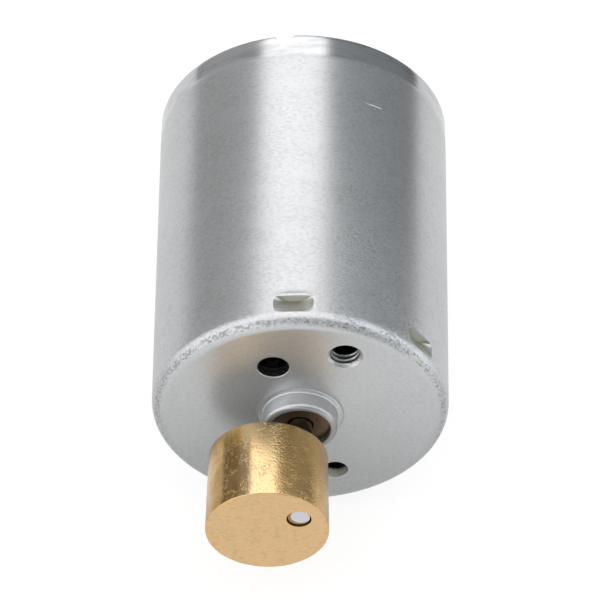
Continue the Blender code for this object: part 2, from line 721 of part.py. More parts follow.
def make_commutator(rotor):
    sleeve_front = rear_insulator_rear + SEAT_GAP
    sleeve_length = rear_washer_front - SEAT_GAP - sleeve_front
    sleeve = collar("commutator_sleeve", pressed_bore, sleeve_radius, sleeve_length)
    seat(sleeve, rotor, sleeve_front)
    sleeve.data.materials.append(finish("moulded_sleeve", (0.20, 0.12, 0.07), 0.45, 0.0))
    copper = finish("commutator_copper", (0.72, 0.40, 0.25), 0.3, 1.0)
    segment_inner = commutator_radius - SEGMENT_THICKNESS
    riser_root = commutator_radius - SEGMENT_THICKNESS / 2
    for pole in range(POLES):
        angle = (pole + 0.5) * 360.0 / POLES
        name = f"commutator_segment_{pole + 1}"
        length = segment_rear - segment_front
        segment = sector(name, segment_inner, commutator_radius, SEGMENT_SPAN, length, SEGMENT_STEPS)
        seat(segment, rotor, segment_front, angle)
        riser_outer = commutator_radius + RISER_REACH
        riser = sector("riser", riser_root, riser_outer, RISER_SPAN, RISER_THICKNESS, ARC_STEPS)
        shape_with(segment, [seat(riser, rotor, segment_front, angle)], "UNION")
        segment.data.materials.append(copper)
    ring_inner = commutator_radius + SEAT_GAP
    ring = collar("commutator_ring", ring_inner, ring_inner + RING_THICKNESS, RING_WIDTH)
    seat(ring, rotor, ring_front)
    ring.data.materials.append(finish("clamping_fibre", (0.55, 0.50, 0.38), 0.6, 0.0))


def make_shaft_rings(rotor):
    """Thrust washers beside the bushes, and the spacer that sets the core's place."""
    white_nylon = finish("white_nylon", (0.80, 0.79, 0.74), 0.4, 0.0)
    washer_outer = pressed_bore + WASHER_WALL
    washers = (("front_thrust_washer", front_washer_front), ("rear_thrust_washer", rear_washer_front))
    for name, y in washers:
        washer = seat(collar(name, pressed_bore, washer_outer, WASHER_THICKNESS), rotor, y)
        washer.data.materials.append(white_nylon)
    spacer_front = front_washer_front + WASHER_THICKNESS + SEAT_GAP
    spacer_length = front_insulator_front - SEAT_GAP - spacer_front
    spacer = collar("front_spacer", pressed_bore, pressed_bore + SPACER_WALL, spacer_length)
    seat(spacer, rotor, spacer_front)
    spacer.data.materials.append(finish("spacer_nylon", (0.10, 0.10, 0.11), 0.45, 0.0))


def main():
    for old in list(bpy.data.objects):
        bpy.data.objects.remove(old)
    housing = body_axis("housing", HOUSING_CLOCK)
    rotor = body_axis("rotor", WEIGHT_CLOCK)
    bronze = finish("sintered_bronze", (0.26, 0.19, 0.12), 0.5, 1.0)
    make_can(housing)
    make_bush("front_bush", housing, front_bush_front, bronze)
    make_magnets(housing)
    make_clips(housing)
    make_end_bell(housing)
    make_bush("rear_bush", housing, rear_bush_front, bronze)
    make_brush_gear(housing)
    make_shaft(rotor, finish("ground_steel", (0.42, 0.42, 0.41), 0.25, 1.0))
    make_weight(rotor)
    make_core(rotor)
    make_windings(rotor)
    make_commutator(rotor)
    make_shaft_rings(rotor)


main()
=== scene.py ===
# %% [markdown]
# A small vibration motor, dressed for its picture
#
# The real object is a brushed motor in a drawn steel can. An off-centre brass cylinder on its shaft
# shakes it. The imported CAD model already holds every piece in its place, so this script only gives
# the pieces finer surfaces and their finishes. Each new surface is worked out with numpy and rides
# on the CAD body that it dresses.

# %% Load the frame
import json

import bmesh
import bpy
import numpy as np
from mathutils import Matrix, Vector


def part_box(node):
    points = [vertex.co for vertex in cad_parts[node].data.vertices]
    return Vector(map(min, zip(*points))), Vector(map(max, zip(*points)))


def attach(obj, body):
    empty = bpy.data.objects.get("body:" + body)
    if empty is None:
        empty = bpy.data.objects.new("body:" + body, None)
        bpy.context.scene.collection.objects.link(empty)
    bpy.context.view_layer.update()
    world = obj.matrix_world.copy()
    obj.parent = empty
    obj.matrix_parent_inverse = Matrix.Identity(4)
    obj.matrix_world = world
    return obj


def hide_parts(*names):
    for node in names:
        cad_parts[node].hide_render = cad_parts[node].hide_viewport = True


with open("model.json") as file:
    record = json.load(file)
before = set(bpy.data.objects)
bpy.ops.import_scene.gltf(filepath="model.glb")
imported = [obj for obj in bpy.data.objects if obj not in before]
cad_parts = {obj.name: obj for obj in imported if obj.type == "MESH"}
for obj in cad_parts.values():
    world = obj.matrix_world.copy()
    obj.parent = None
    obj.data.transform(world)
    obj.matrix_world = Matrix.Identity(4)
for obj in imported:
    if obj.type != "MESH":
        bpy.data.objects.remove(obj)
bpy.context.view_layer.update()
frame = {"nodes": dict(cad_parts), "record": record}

# %% [markdown]
# Lengths below are in millimetres, because that is how such a motor is drawn. The shaft's axis is Y,
# with the weight at -Y. Angles go round that axis, in degrees from +X towards +Z. The places along
# the axis come from the frame, so a dressed piece ends where its CAD node ends.

# %% Sizes read from the frame
MM = 0.001


def node_box(node):
    """Lowest and highest corner of a CAD node, in millimetres."""
    return [np.array(corner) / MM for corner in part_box(node)]


can_low, can_high = node_box("can")
boss_front = can_low[1]
rim_rear = can_high[1]
can_radius = round((can_high[0] - can_low[0]) / 2, 1)
HOUSING_CLOCK = 64.6
print(f"can: radius {can_radius:.2f}, from y {boss_front:.2f} to {rim_rear:.2f} mm")

# %% [markdown]
# Almost every piece of a motor is turned, drawn or punched, so one kind of grid does most of the
# work: rings of points one after the other, each ring closed round the axis. If the section is a
# loop, the last ring joins the first and the surface closes like a tyre. If it isn't, one flat face
# closes each end. Blender could spin a profile with a modifier, but with numpy every point can still
# be pushed by a formula, which the dents and notches of the can need.

# %% Helpers that turn grids of points into meshes


def arc(center, radius, start, end, steps):
    """Points of a round stretch: center plus radius times (cos, sin) of evenly spaced angles."""
    angles = np.radians(np.linspace(start, end, steps + 1))
    return np.column_stack([center[0] + radius * np.cos(angles), center[1] + radius * np.sin(angles)])


def straight(start, end, steps):
    """Points from start to end, both included."""
    return np.linspace(start, end, steps + 1)


def even_angles(count):
    """Evenly spaced angles once round, in radians."""
    return np.arange(count) * 2 * np.pi / count


def turned_points(radius, y, angles):
    """Grid of rings about the axis: x = radius cos(angle), z = radius sin(angle), each at its y."""
    radius, y, angles = np.broadcast_arrays(radius, y, angles)
    return np.stack([radius * np.cos(angles), y, radius * np.sin(angles)], axis=-1)


def turned_profile(profile, around):
    """A profile of (radius, y) points carried round the axis, with so many points in each ring."""
    return turned_points(profile[:, :1], profile[:, 1:], even_angles(around)[None, :])


def grid_faces(rings, around, loop):
    """Quads between neighbouring rings, and a flat face on each end ring of a section that is no loop."""
    ring = np.arange(rings if loop else rings - 1)[:, None]
    step = np.arange(around)[None, :]
    next_ring = (ring + 1) % rings
    next_step = (step + 1) % around
    corners = [(ring, step), (ring, next_step), (next_ring, next_step), (next_ring, step)]
    quads = np.stack([r * around + s for r, s in corners], axis=-1).reshape(-1, 4).tolist()
    if loop:
        return quads
    return quads + [list(range(around)), list(range((rings - 1) * around, rings * around))]


def add_object(name, data):
    """New object at the origin, in the scene."""
    made = bpy.data.objects.new(name, data)
    bpy.context.scene.collection.objects.link(made)
    return made


def grid_object(name, points, loop=True):
    """Object, still in millimetres, of a grid of points, with its faces turned outwards."""
    rings, around = points.shape[:2]
    mesh = bpy.data.meshes.new(name)
    mesh.from_pydata(points.reshape(-1, 3), [], grid_faces(rings, around, loop))
    work = bmesh.new()
    work.from_mesh(mesh)
    bmesh.ops.recalc_face_normals(work, faces=work.faces)
    work.to_mesh(mesh)
    work.free()
    return add_object(name, mesh)


def carve(piece, tools, operation="DIFFERENCE"):
    """Cut each tool out of a piece, or join it to the piece, and remove the tools."""
    for tool in tools:
        change = piece.modifiers.new(tool.name, "BOOLEAN")
        change.operation = operation
        change.solver = "MANIFOLD"
        change.object = tool
    evaluated = piece.evaluated_get(bpy.context.evaluated_depsgraph_get())
    carved = bpy.data.meshes.new_from_object(evaluated)
    piece.modifiers.clear()
    piece.data = carved
    for tool in tools:
        bpy.data.objects.remove(tool)


SHARP_ANGLE = np.radians(32.0)


def dress(piece, node, body, material):
    """Bring a piece from millimetres to metres, shade it, and let it stand for its CAD node."""
    piece.data.transform(Matrix.Scale(MM, 4))
    piece.data.shade_smooth()
    piece.data.set_sharp_from_angle(angle=SHARP_ANGLE)
    piece.data.materials.clear()
    piece.data.materials.append(material)
    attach(piece, body)
    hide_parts(node)
    triangles = sum(len(face.vertices) - 2 for face in piece.data.polygons)
    print(f"{piece.name}: {triangles} triangles for {node}")


# %% [markdown]
# The finishes are node trees, so that they hold at any distance. The class below keeps each finish to
# a few readable lines: every method adds the nodes of one step and gives back their output. Patterns
# read Object coordinates, brought to millimetres, so they stay on the piece when it turns.

# %% Helpers that write finishes


class Nodes:
    """A node tree being written. A value given to a step is a number or another step's output."""

    def __init__(self, tree):
        self.tree = tree
        place = self.put("TexCoord", {}).outputs["Object"]
        self.place = self.put("Mapping", {"Vector": place, "Scale": (1.0 / MM,) * 3}).outputs[0]
        self.xyz = self.put("SeparateXYZ", {"Vector": self.place}).outputs

    def give(self, socket, value):
        """Link an output to a socket, or set the socket to a fixed number or colour."""
        if isinstance(value, bpy.types.NodeSocket):
            self.tree.links.new(value, socket)
        elif socket.type == "RGBA":
            socket.default_value = (*value, 1.0)
        else:
            socket.default_value = value

    def put(self, kind, inputs, **settings):
        """Add a node, set its inputs from values or outputs, and give it back."""
        made = self.tree.nodes.new("ShaderNode" + kind)
        for key, value in settings.items():
            setattr(made, key, value)
        for key, value in inputs.items():
            self.give(made.inputs[key], value)
        return made

    def math(self, operation, first, *others):
        """Arithmetic on two or more values, from left to right."""
        for other in others:
            first = self.put("Math", {0: first, 1: other}, operation=operation).outputs[0]
        return first

    def times(self, *values):
        """Product of the values."""
        return self.math("MULTIPLY", *values)

    def plus(self, *values):
        """Sum of the values."""
        return self.math("ADD", *values)

    def minus(self, first, second):
        """First value less the second."""
        return self.math("SUBTRACT", first, second)

    def most(self, *values):
        """Largest of the values."""
        return self.math("MAXIMUM", *values)

    def size(self, value):
        """A value without its sign."""
        return self.math("ABSOLUTE", value, 0.0)

    def length(self, first, second):
        """Length of a step made of two steps at right angles."""
        return self.math("SQRT", self.plus(self.times(first, first), self.times(second, second)), 0.0)

    def ramp(self, value, low, high, to_low=0.0, to_high=1.0):
        """Smooth step from to_low at low to to_high at high."""
        inputs = {"Value": value, "From Min": low, "From Max": high, "To Min": to_low, "To Max": to_high}
        return self.put("MapRange", inputs, interpolation_type="SMOOTHSTEP").outputs["Result"]

    def strip(self, value, low, high, soft):
        """1 between low and high, falling to 0 over a soft width on each side."""
        return self.times(self.ramp(value, low - soft, low), self.ramp(value, high + soft, high))

    def noise(self, per_mm, detail=2.0, stretch=(1.0, 1.0, 1.0), turn=0.0):
        """Noise from 0 to 1: so many lumps in a millimetre, longer along an axis whose stretch is below 1."""
        scale = [per_mm * share for share in stretch]
        mapped = self.put("Mapping", {"Vector": self.place, "Scale": scale, "Rotation": (0.0, turn, 0.0)})
        inputs = {"Vector": mapped.outputs[0], "Scale": 1.0, "Detail": detail}
        return self.put("TexNoise", inputs).outputs["Fac"]

    def tint(self, share, first, second):
        """Colour between two, by a share from 0 to 1."""
        made = self.put("Mix", {"Factor": share}, data_type="RGBA")
        color_sockets = [socket for socket in made.inputs if socket.type == "RGBA"]
        for socket, color in zip(color_sockets, (first, second)):
            self.give(socket, color)
        return next(socket for socket in made.outputs if socket.type == "RGBA")


class Finish(Nodes):
    """The node tree of a new material, with the shader that it feeds."""

    def __init__(self, name, color, metallic, roughness):
        self.material = bpy.data.materials.new(name)
        self.material.use_nodes = True
        super().__init__(self.material.node_tree)
        self.shader = self.tree.nodes["Principled BSDF"]
        self.feed("Base Color", color)
        self.feed("Metallic", metallic)
        self.feed("Roughness", roughness)

    def feed(self, socket_name, value):
        """Give one of the shader's sockets a value."""
        self.give(self.shader.inputs[socket_name], value)

    def roughen(self, height, depth, strength=1.0):
        """Bump of a given depth in millimetres where height is 1."""
        bump = self.put("Bump", {"Height": height, "Distance": depth * MM, "Strength": strength})
        self.feed("Normal", bump.outputs["Normal"])

    def vary(self, pattern, first, second, smooth, dull):
        """Colour and roughness that both follow one pattern."""
        self.feed("Base Color", self.tint(pattern, first, second))
        self.feed("Roughness", self.ramp(pattern, 0.3, 0.7, smooth, dull))


# %% [markdown]
# The camera comes before the pieces, because it decides which of them matter. A long lens from
# above and in front gives the picture's nearly parallel edges. Its place and tilt were worked out
# from the can's outline, the boss and the weight.

# %% Camera
CAMERA_PLACE = np.array([2.31, -255.58, 328.45])
CAMERA_YAW = np.radians(-0.521)
CAMERA_PITCH = np.radians(50.816)
LENS = 304.25

camera_data = bpy.data.cameras.new("camera")
camera_data.lens = LENS
camera_data.clip_start = 0.01
camera = add_object("camera", camera_data)
level_step = np.cos(CAMERA_PITCH)
forward = Vector((np.sin(CAMERA_YAW) * level_step, np.cos(CAMERA_YAW) * level_step, -np.sin(CAMERA_PITCH)))
camera.location = Vector(CAMERA_PLACE * MM)
camera.rotation_euler = forward.to_track_quat("-Z", "Y").to_euler()
bpy.context.scene.camera = camera
bpy.context.scene.view_settings.view_transform = "Standard"
print(f"camera {np.linalg.norm(CAMERA_PLACE):.0f} mm from the front face")

# %% [markdown]
# Bare metal shows the room more than itself. In the studio, a long soft light hangs over and behind
# the motor and darker walls stand at its sides, which gives the can its bright stripe between two
# dark bands. Each wall fades away from the light, the right one is a little cooler far out, and a dark
# wall in front shades the plate. That room is one bent sheet round the Y axis whose glow is a function
# of the angle and of the place along the axis. Only mirror-like rays see it: the plain white world
# lights the rest.

# %% Studio room
ROOM_RADIUS = 300.0
ROOM_FRONT = -900.0
ROOM_REAR = 900.0
ROOM_LEFT = -94.0
ROOM_RIGHT = 98.5
ROOM_FLOOR = 11.0
ROOM_STEPS = 200
WALL_END = 90.0
SOFT_LIGHT = 1.8
SOFT_LEFT = -33.0
SOFT_LEFT_EDGE = 3.0
SOFT_RIGHT = 18.5
SOFT_RIGHT_EDGE = 2.5
SOFT_FRONT = -110.0
SOFT_REAR = 420.0
SOFT_END = 45.0
LEFT_NEAR = 0.34
LEFT_FAR = 0.235
RIGHT_NEAR = 0.57
RIGHT_FAR = 0.17
REAR_LEFT = 0.46
REAR_RIGHT = 0.22
REAR_START = 272.0
REAR_EDGE = 12.0
SIDE_LIGHT = 1.6
SIDE_REAR = 70.0
SIDE_END = 25.0
FRONT_WALL = 0.1
FRONT_START = -170.0
FRONT_LEFT = -32.0
FRONT_EDGE = 10.0
WHITE = (1.0, 1.0, 1.0)
COOL = (0.94, 1.0, 1.04)
COOL_FROM = 95.0
COOL_TO = 150.0


def soft_step(value, middle, width):
    """Rise from 0 to 1 around middle: half of 1 plus the tanh of the distance in widths."""
    return 0.5 + 0.5 * np.tanh((value - middle) / width)


def blend(first, second, share):
    """Value between two, by a share from 0 to 1."""
    return first + (second - first) * share


def room_glow(tilt, y):
    """Glow at a tilt from straight up and a place along the axis: soft light, side walls, rear and front."""
    far_left = np.clip((tilt - SOFT_LEFT) / (-WALL_END - SOFT_LEFT), 0.0, 1.0)
    far_right = np.clip((tilt - SOFT_RIGHT) / (WALL_END - SOFT_RIGHT), 0.0, 1.0)
    on_right = soft_step(tilt, 0.0, SOFT_RIGHT_EDGE)
    wall = blend(blend(LEFT_NEAR, LEFT_FAR, far_left), blend(RIGHT_NEAR, RIGHT_FAR, far_right), on_right)
    wall = blend(wall, blend(REAR_LEFT, REAR_RIGHT, on_right), soft_step(y, REAR_START, REAR_EDGE))
    wall = blend(wall, SIDE_LIGHT, soft_step(-y, -SIDE_REAR, SIDE_END))
    front = soft_step(-y, -FRONT_START, SOFT_END) * soft_step(tilt, FRONT_LEFT, FRONT_EDGE)
    wall = blend(wall, FRONT_WALL, front)
    across = soft_step(tilt, SOFT_LEFT, SOFT_LEFT_EDGE) * soft_step(-tilt, -SOFT_RIGHT, SOFT_RIGHT_EDGE)
    along = soft_step(y, SOFT_FRONT, SOFT_END) * soft_step(-y, -SOFT_REAR, SOFT_END)
    return blend(wall, SOFT_LIGHT, across * along)


def room_points(tilt, y):
    """The bent sheet: a round wall about the axis that turns in along the floor, not below it."""
    down = np.maximum(-np.cos(np.radians(tilt)), 1e-6)
    radius = np.minimum(ROOM_RADIUS, ROOM_FLOOR / down)
    return np.stack([radius * np.sin(np.radians(tilt)), y, radius * np.cos(np.radians(tilt))], axis=-1)


room_tilts = np.linspace(ROOM_LEFT, ROOM_RIGHT, ROOM_STEPS)[None, :]
room_y = np.linspace(ROOM_FRONT, ROOM_REAR, ROOM_STEPS)[:, None]
room_grid = np.broadcast_arrays(room_tilts, room_y)
glow_levels = room_glow(*room_grid)
room_mesh = bpy.data.meshes.new("studio_room")
before_last = np.arange(ROOM_STEPS - 1)
first_corners = (before_last[:, None] * ROOM_STEPS + before_last[None, :]).reshape(-1, 1)
room_quads = first_corners + np.array([0, 1, ROOM_STEPS + 1, ROOM_STEPS])
room_mesh.from_pydata((room_points(*room_grid) * MM).reshape(-1, 3), [], room_quads.tolist())
glow = room_mesh.attributes.new("glow", "FLOAT", "POINT")
glow.data.foreach_set("value", glow_levels.astype(np.float32).ravel())

room_material = bpy.data.materials.new("studio_room")
room_material.use_nodes = True
room_nodes = Nodes(room_material.node_tree)
room_nodes.tree.nodes.remove(room_nodes.tree.nodes["Principled BSDF"])
glow_level = room_nodes.put("Attribute", {}, attribute_name="glow").outputs["Fac"]
wall_color = room_nodes.tint(room_nodes.ramp(room_nodes.xyz["X"], COOL_FROM, COOL_TO), WHITE, COOL)
emission = room_nodes.put("Emission", {"Strength": glow_level, "Color": wall_color}).outputs[0]
room_nodes.give(room_nodes.tree.nodes["Material Output"].inputs["Surface"], emission)
room_mesh.materials.append(room_material)
room = add_object("studio_room", room_mesh)
room.visible_camera = False
room.visible_diffuse = False
room.visible_shadow = False
room.visible_transmission = False
print(f"room glow from {glow_levels.min():.2f} to {glow_levels.max():.2f}")

# %% [markdown]
# The floor is plain white. It is lit by the world and adds a little of its own glow where the camera
# or a reflection looks at it, so that it comes out white and still keeps the soft shadow of the motor.
# Reflections see it darker under the front face, where the motor's own shadow falls, and paler again
# beside the can. The world is white where it is seen, and slightly softer as a light.

# %% Floor and world
FLOOR_HALF = 3000.0
FLOOR_GAP = 0.02
FLOOR_WHITE = 0.32
FLOOR_GLOW = 0.79
FLOOR_MIRRORED = 0.74
FLOOR_SHADED = 0.4
FLOOR_BESIDE = 0.64
SHADED_FROM = -2.0
SHADED_TO = -13.0
BESIDE_FROM = -2.0
BESIDE_TO = 3.0
WORLD_LIGHT = 0.9


def seen_by(nodes, camera_level, mirror_level):
    """One level for camera rays, another for mirror-like and see-through rays, and 0 for spread light."""
    path = nodes.put("LightPath", {}).outputs
    bent = nodes.most(path["Is Glossy Ray"], path["Is Transmission Ray"])
    return nodes.most(nodes.times(path["Is Camera Ray"], camera_level), nodes.times(bent, mirror_level))


floor_z = can_low[2] - FLOOR_GAP
corner_signs = np.array([(-1, -1), (1, -1), (1, 1), (-1, 1)])
floor_points = np.column_stack([corner_signs * FLOOR_HALF, np.full(4, floor_z)]) * MM
floor_mesh = bpy.data.meshes.new("floor")
floor_mesh.from_pydata(floor_points, [], [[0, 1, 2, 3]])
paper = Finish("floor", (FLOOR_WHITE,) * 3, 0.0, 1.0)
paper.feed("Specular IOR Level", 0.0)
paper.feed("Emission Color", WHITE)
floor_y = paper.xyz["Y"]
in_front = paper.ramp(floor_y, SHADED_TO, SHADED_FROM, FLOOR_MIRRORED, FLOOR_SHADED)
beside = paper.ramp(floor_y, BESIDE_FROM, BESIDE_TO, FLOOR_SHADED, FLOOR_BESIDE)
paper.feed("Emission Strength", seen_by(paper, FLOOR_GLOW, paper.most(in_front, beside)))
floor_mesh.materials.append(paper.material)
floor = add_object("floor", floor_mesh)

world = bpy.data.worlds.new("studio")
world.use_nodes = True
sky = Nodes(world.node_tree)
background = sky.tree.nodes["Background"]
sky.give(background.inputs["Color"], WHITE)
sky.give(background.inputs["Strength"], sky.most(seen_by(sky, 1.0, 1.0), WORLD_LIGHT))
bpy.context.scene.world = world
print(f"floor at z {floor_z:.2f} mm")

# %% [markdown]
# Plated steel is the finish that fills the picture. The sheet was drawn into a cup, and drawing
# pulls its grain apart: the metal is smooth by the open rim and grows a mottled skin towards the front
# corner, where it was bent most. One noise makes the skin, and its strength follows the place along
# the axis. Another makes pits in loose patches, most of them low on the right and round the corner.
# The rear band was ironed flat, so it is the most mirror-like, and its edge follows the four ears that
# drawing leaves. Masks worked out from the place keep each mark where it belongs. The boss's lip and
# side are painted darker as shade, everything inside the can is painted dark as shade, a patch low
# inside is painted light, and the holes' inner edges get a faint painted glint.

# %% Plated steel
STEEL_COLOR = (0.575, 0.582, 0.59)
STEEL_SHADE = (0.49, 0.497, 0.503)
BAND_COLOR = (0.6, 0.607, 0.617)
FACE_COLOR = (0.613, 0.63, 0.643)
# Painted shade inside the can, in its threads' grooves and behind its holes
INSIDE_PAINTED_SHADE = (0.014, 0.012, 0.011)
# Painted light on the can's inside low down, seen through the lower vent
LOW_INSIDE_PAINTED_LIGHT = (0.74, 0.77, 0.71)
MARK_COLORS = {
    "pits": (0.34, 0.345, 0.35),
    "dents": (0.52, 0.52, 0.47),
    # Painted shade on the boss's lip and side
    "boss_shade": (0.3, 0.28, 0.26),
    "nick": (0.8, 0.8, 0.8),
}
BODY_METAL = 0.88
FACE_METAL = 0.62
BAND_METAL = 0.95
BAND_FRONT = 28.55
BAND_SLOPE = 0.3
EAR = 0.35
SKIN_LUMPS = 6.0
SKIN_STRETCH = (0.7, 1.0, 0.7)
SKIN_DEPTH = 0.045
SKIN_LEAST = 0.06
PIT_DEPTH = 1.2
MOTTLE_LUMPS = 5.0
SHADE_REACH_FRONT = 10.95
SHADE_REACH_REAR = 11.38
MOUNT_RADIUS = 8.5
THREAD_KEPT = 1.5
GROOVE_SHADE = 0.95
EDGE_GLINT = 0.05
NICK_Y = 24.4
NICK_FROM = 5.27
NICK_TO = 6.79


def thread_distance(steel):
    """Distance from the axis of the nearer tapped hole, by steps along and across the line of both."""
    x, _, z = steel.xyz
    turn = np.radians(HOUSING_CLOCK)
    along = steel.plus(steel.times(x, np.cos(turn)), steel.times(z, np.sin(turn)))
    aside = steel.minus(steel.times(z, np.cos(turn)), steel.times(x, np.sin(turn)))
    return steel.length(steel.minus(steel.size(along), MOUNT_RADIUS), aside)


def painted_shade_places(steel):
    """Painted shade: 1 behind the front face, under the side and in the threads' grooves, and 0 on the
    outside.
    """
    x, y, z = steel.xyz
    reach = steel.ramp(y, 0.06, 0.5, SHADE_REACH_FRONT, SHADE_REACH_REAR)
    under = steel.ramp(steel.minus(reach, steel.length(x, z)), 0.0, 0.05)
    behind = steel.ramp(y, 0.04, 0.1)
    from_thread = thread_distance(steel)
    off_thread = steel.ramp(from_thread, THREAD_KEPT, THREAD_KEPT + 0.05)
    # Painted shade in the threads' grooves
    groove = steel.times(steel.ramp(from_thread, 1.1, 1.2), steel.ramp(y, 0.25, 0.35), GROOVE_SHADE)
    deep = steel.most(groove, steel.ramp(y, 0.98, 1.1))
    return steel.times(under, behind, steel.most(off_thread, deep))


def nick(steel):
    """1 along one short bright scratch round the upper right of the side, and 0 elsewhere."""
    x, y, z = steel.xyz
    line = steel.ramp(steel.size(steel.minus(y, NICK_Y)), 0.07, 0.02)
    start = steel.ramp(x, NICK_FROM - 0.3, NICK_FROM + 0.5)
    end = steel.ramp(x, NICK_TO, NICK_TO - 0.5)
    return steel.times(line, start, end, steel.ramp(z, 0.0, 1.0))


def ear_share(steel):
    """Square of the sine of twice the angle, which makes the four ears."""
    x, _, z = steel.xyz
    sine = steel.times(x, z, 2.0 / can_radius ** 2)
    return steel.times(sine, sine)


def steel_pits(steel):
    """1 in small pits that lie in loose patches, most of them low on the right and round the corner."""
    x, y, _ = steel.xyz
    dots = steel.ramp(steel.noise(6.0, 3.0, SKIN_STRETCH), 0.5, 0.63)
    patches = steel.ramp(steel.noise(0.3, 3.0), 0.32, 0.54)
    on_right = steel.ramp(steel.strip(x, 4.0, 8.0, 2.5), 0.0, 1.0, 0.15, 0.6)
    side = steel.times(patches, on_right, steel.ramp(y, 22.0, 10.0, 0.15, 1.0))
    corner = steel.times(steel.strip(y, 0.2, 0.45, 0.14), 0.85)
    return steel.times(dots, steel.most(side, corner), steel.ramp(y, 0.06, 0.16))


def steel_masks(steel):
    """Where each kind of surface and mark lies on the outside, from 0 to 1."""
    x, y, z = steel.xyz
    past_ears = steel.minus(y, steel.times(ear_share(steel), EAR))
    pressed_in = steel.ramp(steel.length(x, z), can_radius - 0.03, can_radius - 0.1)
    # Painted shade: the lower part of the boss's front lip and the right of its side are darkened where the
    # weight shades them
    lip = steel.times(steel.ramp(y, -1.1, -1.35), steel.ramp(z, 2.0, 0.8), 0.7)
    boss_side = steel.times(steel.ramp(y, -0.1, -0.25), steel.ramp(x, -1.0, 1.0, 0.0, 0.35))
    return {
        "face": steel.ramp(y, 0.6, 0.1),
        "band": steel.ramp(past_ears, BAND_FRONT, BAND_FRONT + BAND_SLOPE),
        "pits": steel_pits(steel),
        "dents": steel.times(pressed_in, steel.strip(y, 1.35, 2.7, 0.05)),
        "boss_shade": steel.most(lip, boss_side),
        "nick": nick(steel),
    }


def steel_color(steel, masks):
    """Colour of the outside: mottled sheet, paler on the face and smeared on the band, and then the marks."""
    mottle = steel.noise(MOTTLE_LUMPS, 3.0, (0.6, 1.0, 0.6))
    clouds = steel.noise(0.6, 3.0, (0.4, 1.0, 0.4))
    both = steel.plus(steel.times(mottle, 0.75), steel.times(clouds, 0.25))
    less_on_face = steel.minus(1.0, steel.times(masks["face"], 0.6))
    shade = steel.times(steel.ramp(both, 0.42, 0.66), less_on_face)
    color = steel.tint(shade, steel.tint(masks["face"], STEEL_COLOR, FACE_COLOR), STEEL_SHADE)
    smears = steel.ramp(steel.noise(1.5, 4.0, (0.25, 1.0, 0.25)), 0.45, 0.7)
    color = steel.tint(masks["band"], color, steel.tint(smears, BAND_COLOR, STEEL_SHADE))
    for mark, mark_color in MARK_COLORS.items():
        color = steel.tint(masks[mark], color, mark_color)
    return color


def steel_skin(steel, pits):
    """Bump of the mottled skin and its pits: faint on the face and by the rim, strongest in the corner."""
    y = steel.xyz["Y"]
    skin = steel.minus(steel.noise(SKIN_LUMPS, 3.0, SKIN_STRETCH), steel.times(pits, PIT_DEPTH))
    drawn = steel.ramp(y, 27.0, 2.0, 0.05, 0.4)
    off_corner = steel.ramp(y, 1.0, 2.2)
    corner = steel.minus(steel.ramp(y, 0.01, 0.3), off_corner)
    steel.roughen(skin, SKIN_DEPTH, steel.most(steel.times(drawn, off_corner), corner, SKIN_LEAST))


def plated_steel():
    """Satin steel outside. Inside it is painted dark as shade, with a faint painted glint at the holes' inner
    edges and painted light low down.
    """
    steel = Finish("plated_steel", STEEL_COLOR, BODY_METAL, 0.33)
    _, y, z = steel.xyz
    masks = steel_masks(steel)
    shaded_inside = painted_shade_places(steel)
    glint = steel.times(steel.strip(y, 0.8, 0.88, 0.03), EDGE_GLINT)
    # Inside colour: painted shade, with a faint painted glint at the holes' inner edges and painted light low
    # in the can
    inside = steel.tint(steel.most(glint, steel.ramp(z, -7.2, -7.8)), INSIDE_PAINTED_SHADE, LOW_INSIDE_PAINTED_LIGHT)
    steel.feed("Base Color", steel.tint(shaded_inside, steel_color(steel, masks), inside))
    metal = steel.ramp(y, 0.1, 1.0, FACE_METAL, BODY_METAL)
    metal = steel.most(metal, steel.times(masks["band"], BAND_METAL))
    covered = steel.most(shaded_inside, masks["nick"], steel.times(masks["dents"], 0.15))
    steel.feed("Metallic", steel.times(metal, steel.minus(1.0, covered)))
    body = steel.ramp(y, 26.0, 4.0, 0.28, 0.34)
    steel.feed("Roughness", steel.minus(body, steel.times(masks["band"], 0.12)))
    steel_skin(steel, masks["pits"])
    return steel.material


can_finish = plated_steel()
print("finish:", can_finish.name)

# %% [markdown]
# The can is one grid. Its section runs from the boss's bore over the lip, down to the front face,
# round the corner, along the side to the rim, and back along the inside. A plain lathe shape would
# miss what makes it a pressed can, so three formulas push the grid: the magnet stops dent the side,
# the notches dip the rim, and the crimps push tabs of the rim inwards. Finer grid lines lie where
# these are.

# %% Section of the can
WALL = 0.9
CORNER = 1.2
INNER_CORNER = 0.3
BOSS_BORE = 2.5
BOSS_RADIUS = 3.075
BOSS_LIP = 0.38
BOSS_BORE_EDGE = 0.07
BOSS_FILLET = 0.16
GROOVE_MIDDLE = 3.46
GROOVE_HALF = 0.2
GROOVE_DEPTH = 0.05
PLATE_FROM = 4.0
PLATE_MARGIN = 0.1
BAND_STEP = 0.02
RIM_EDGE = 0.18
RIM_INNER = 11.65
RIM_BREAK = 0.05
CRIMP_LENGTH = 0.55
HAIR = 0.002
STOP_LIP = 3.1
STOP_REAR = 2.66
STOP_TOE = 1.05
PAST_STOPS = 0.3
LINING_MARGIN = 1.0


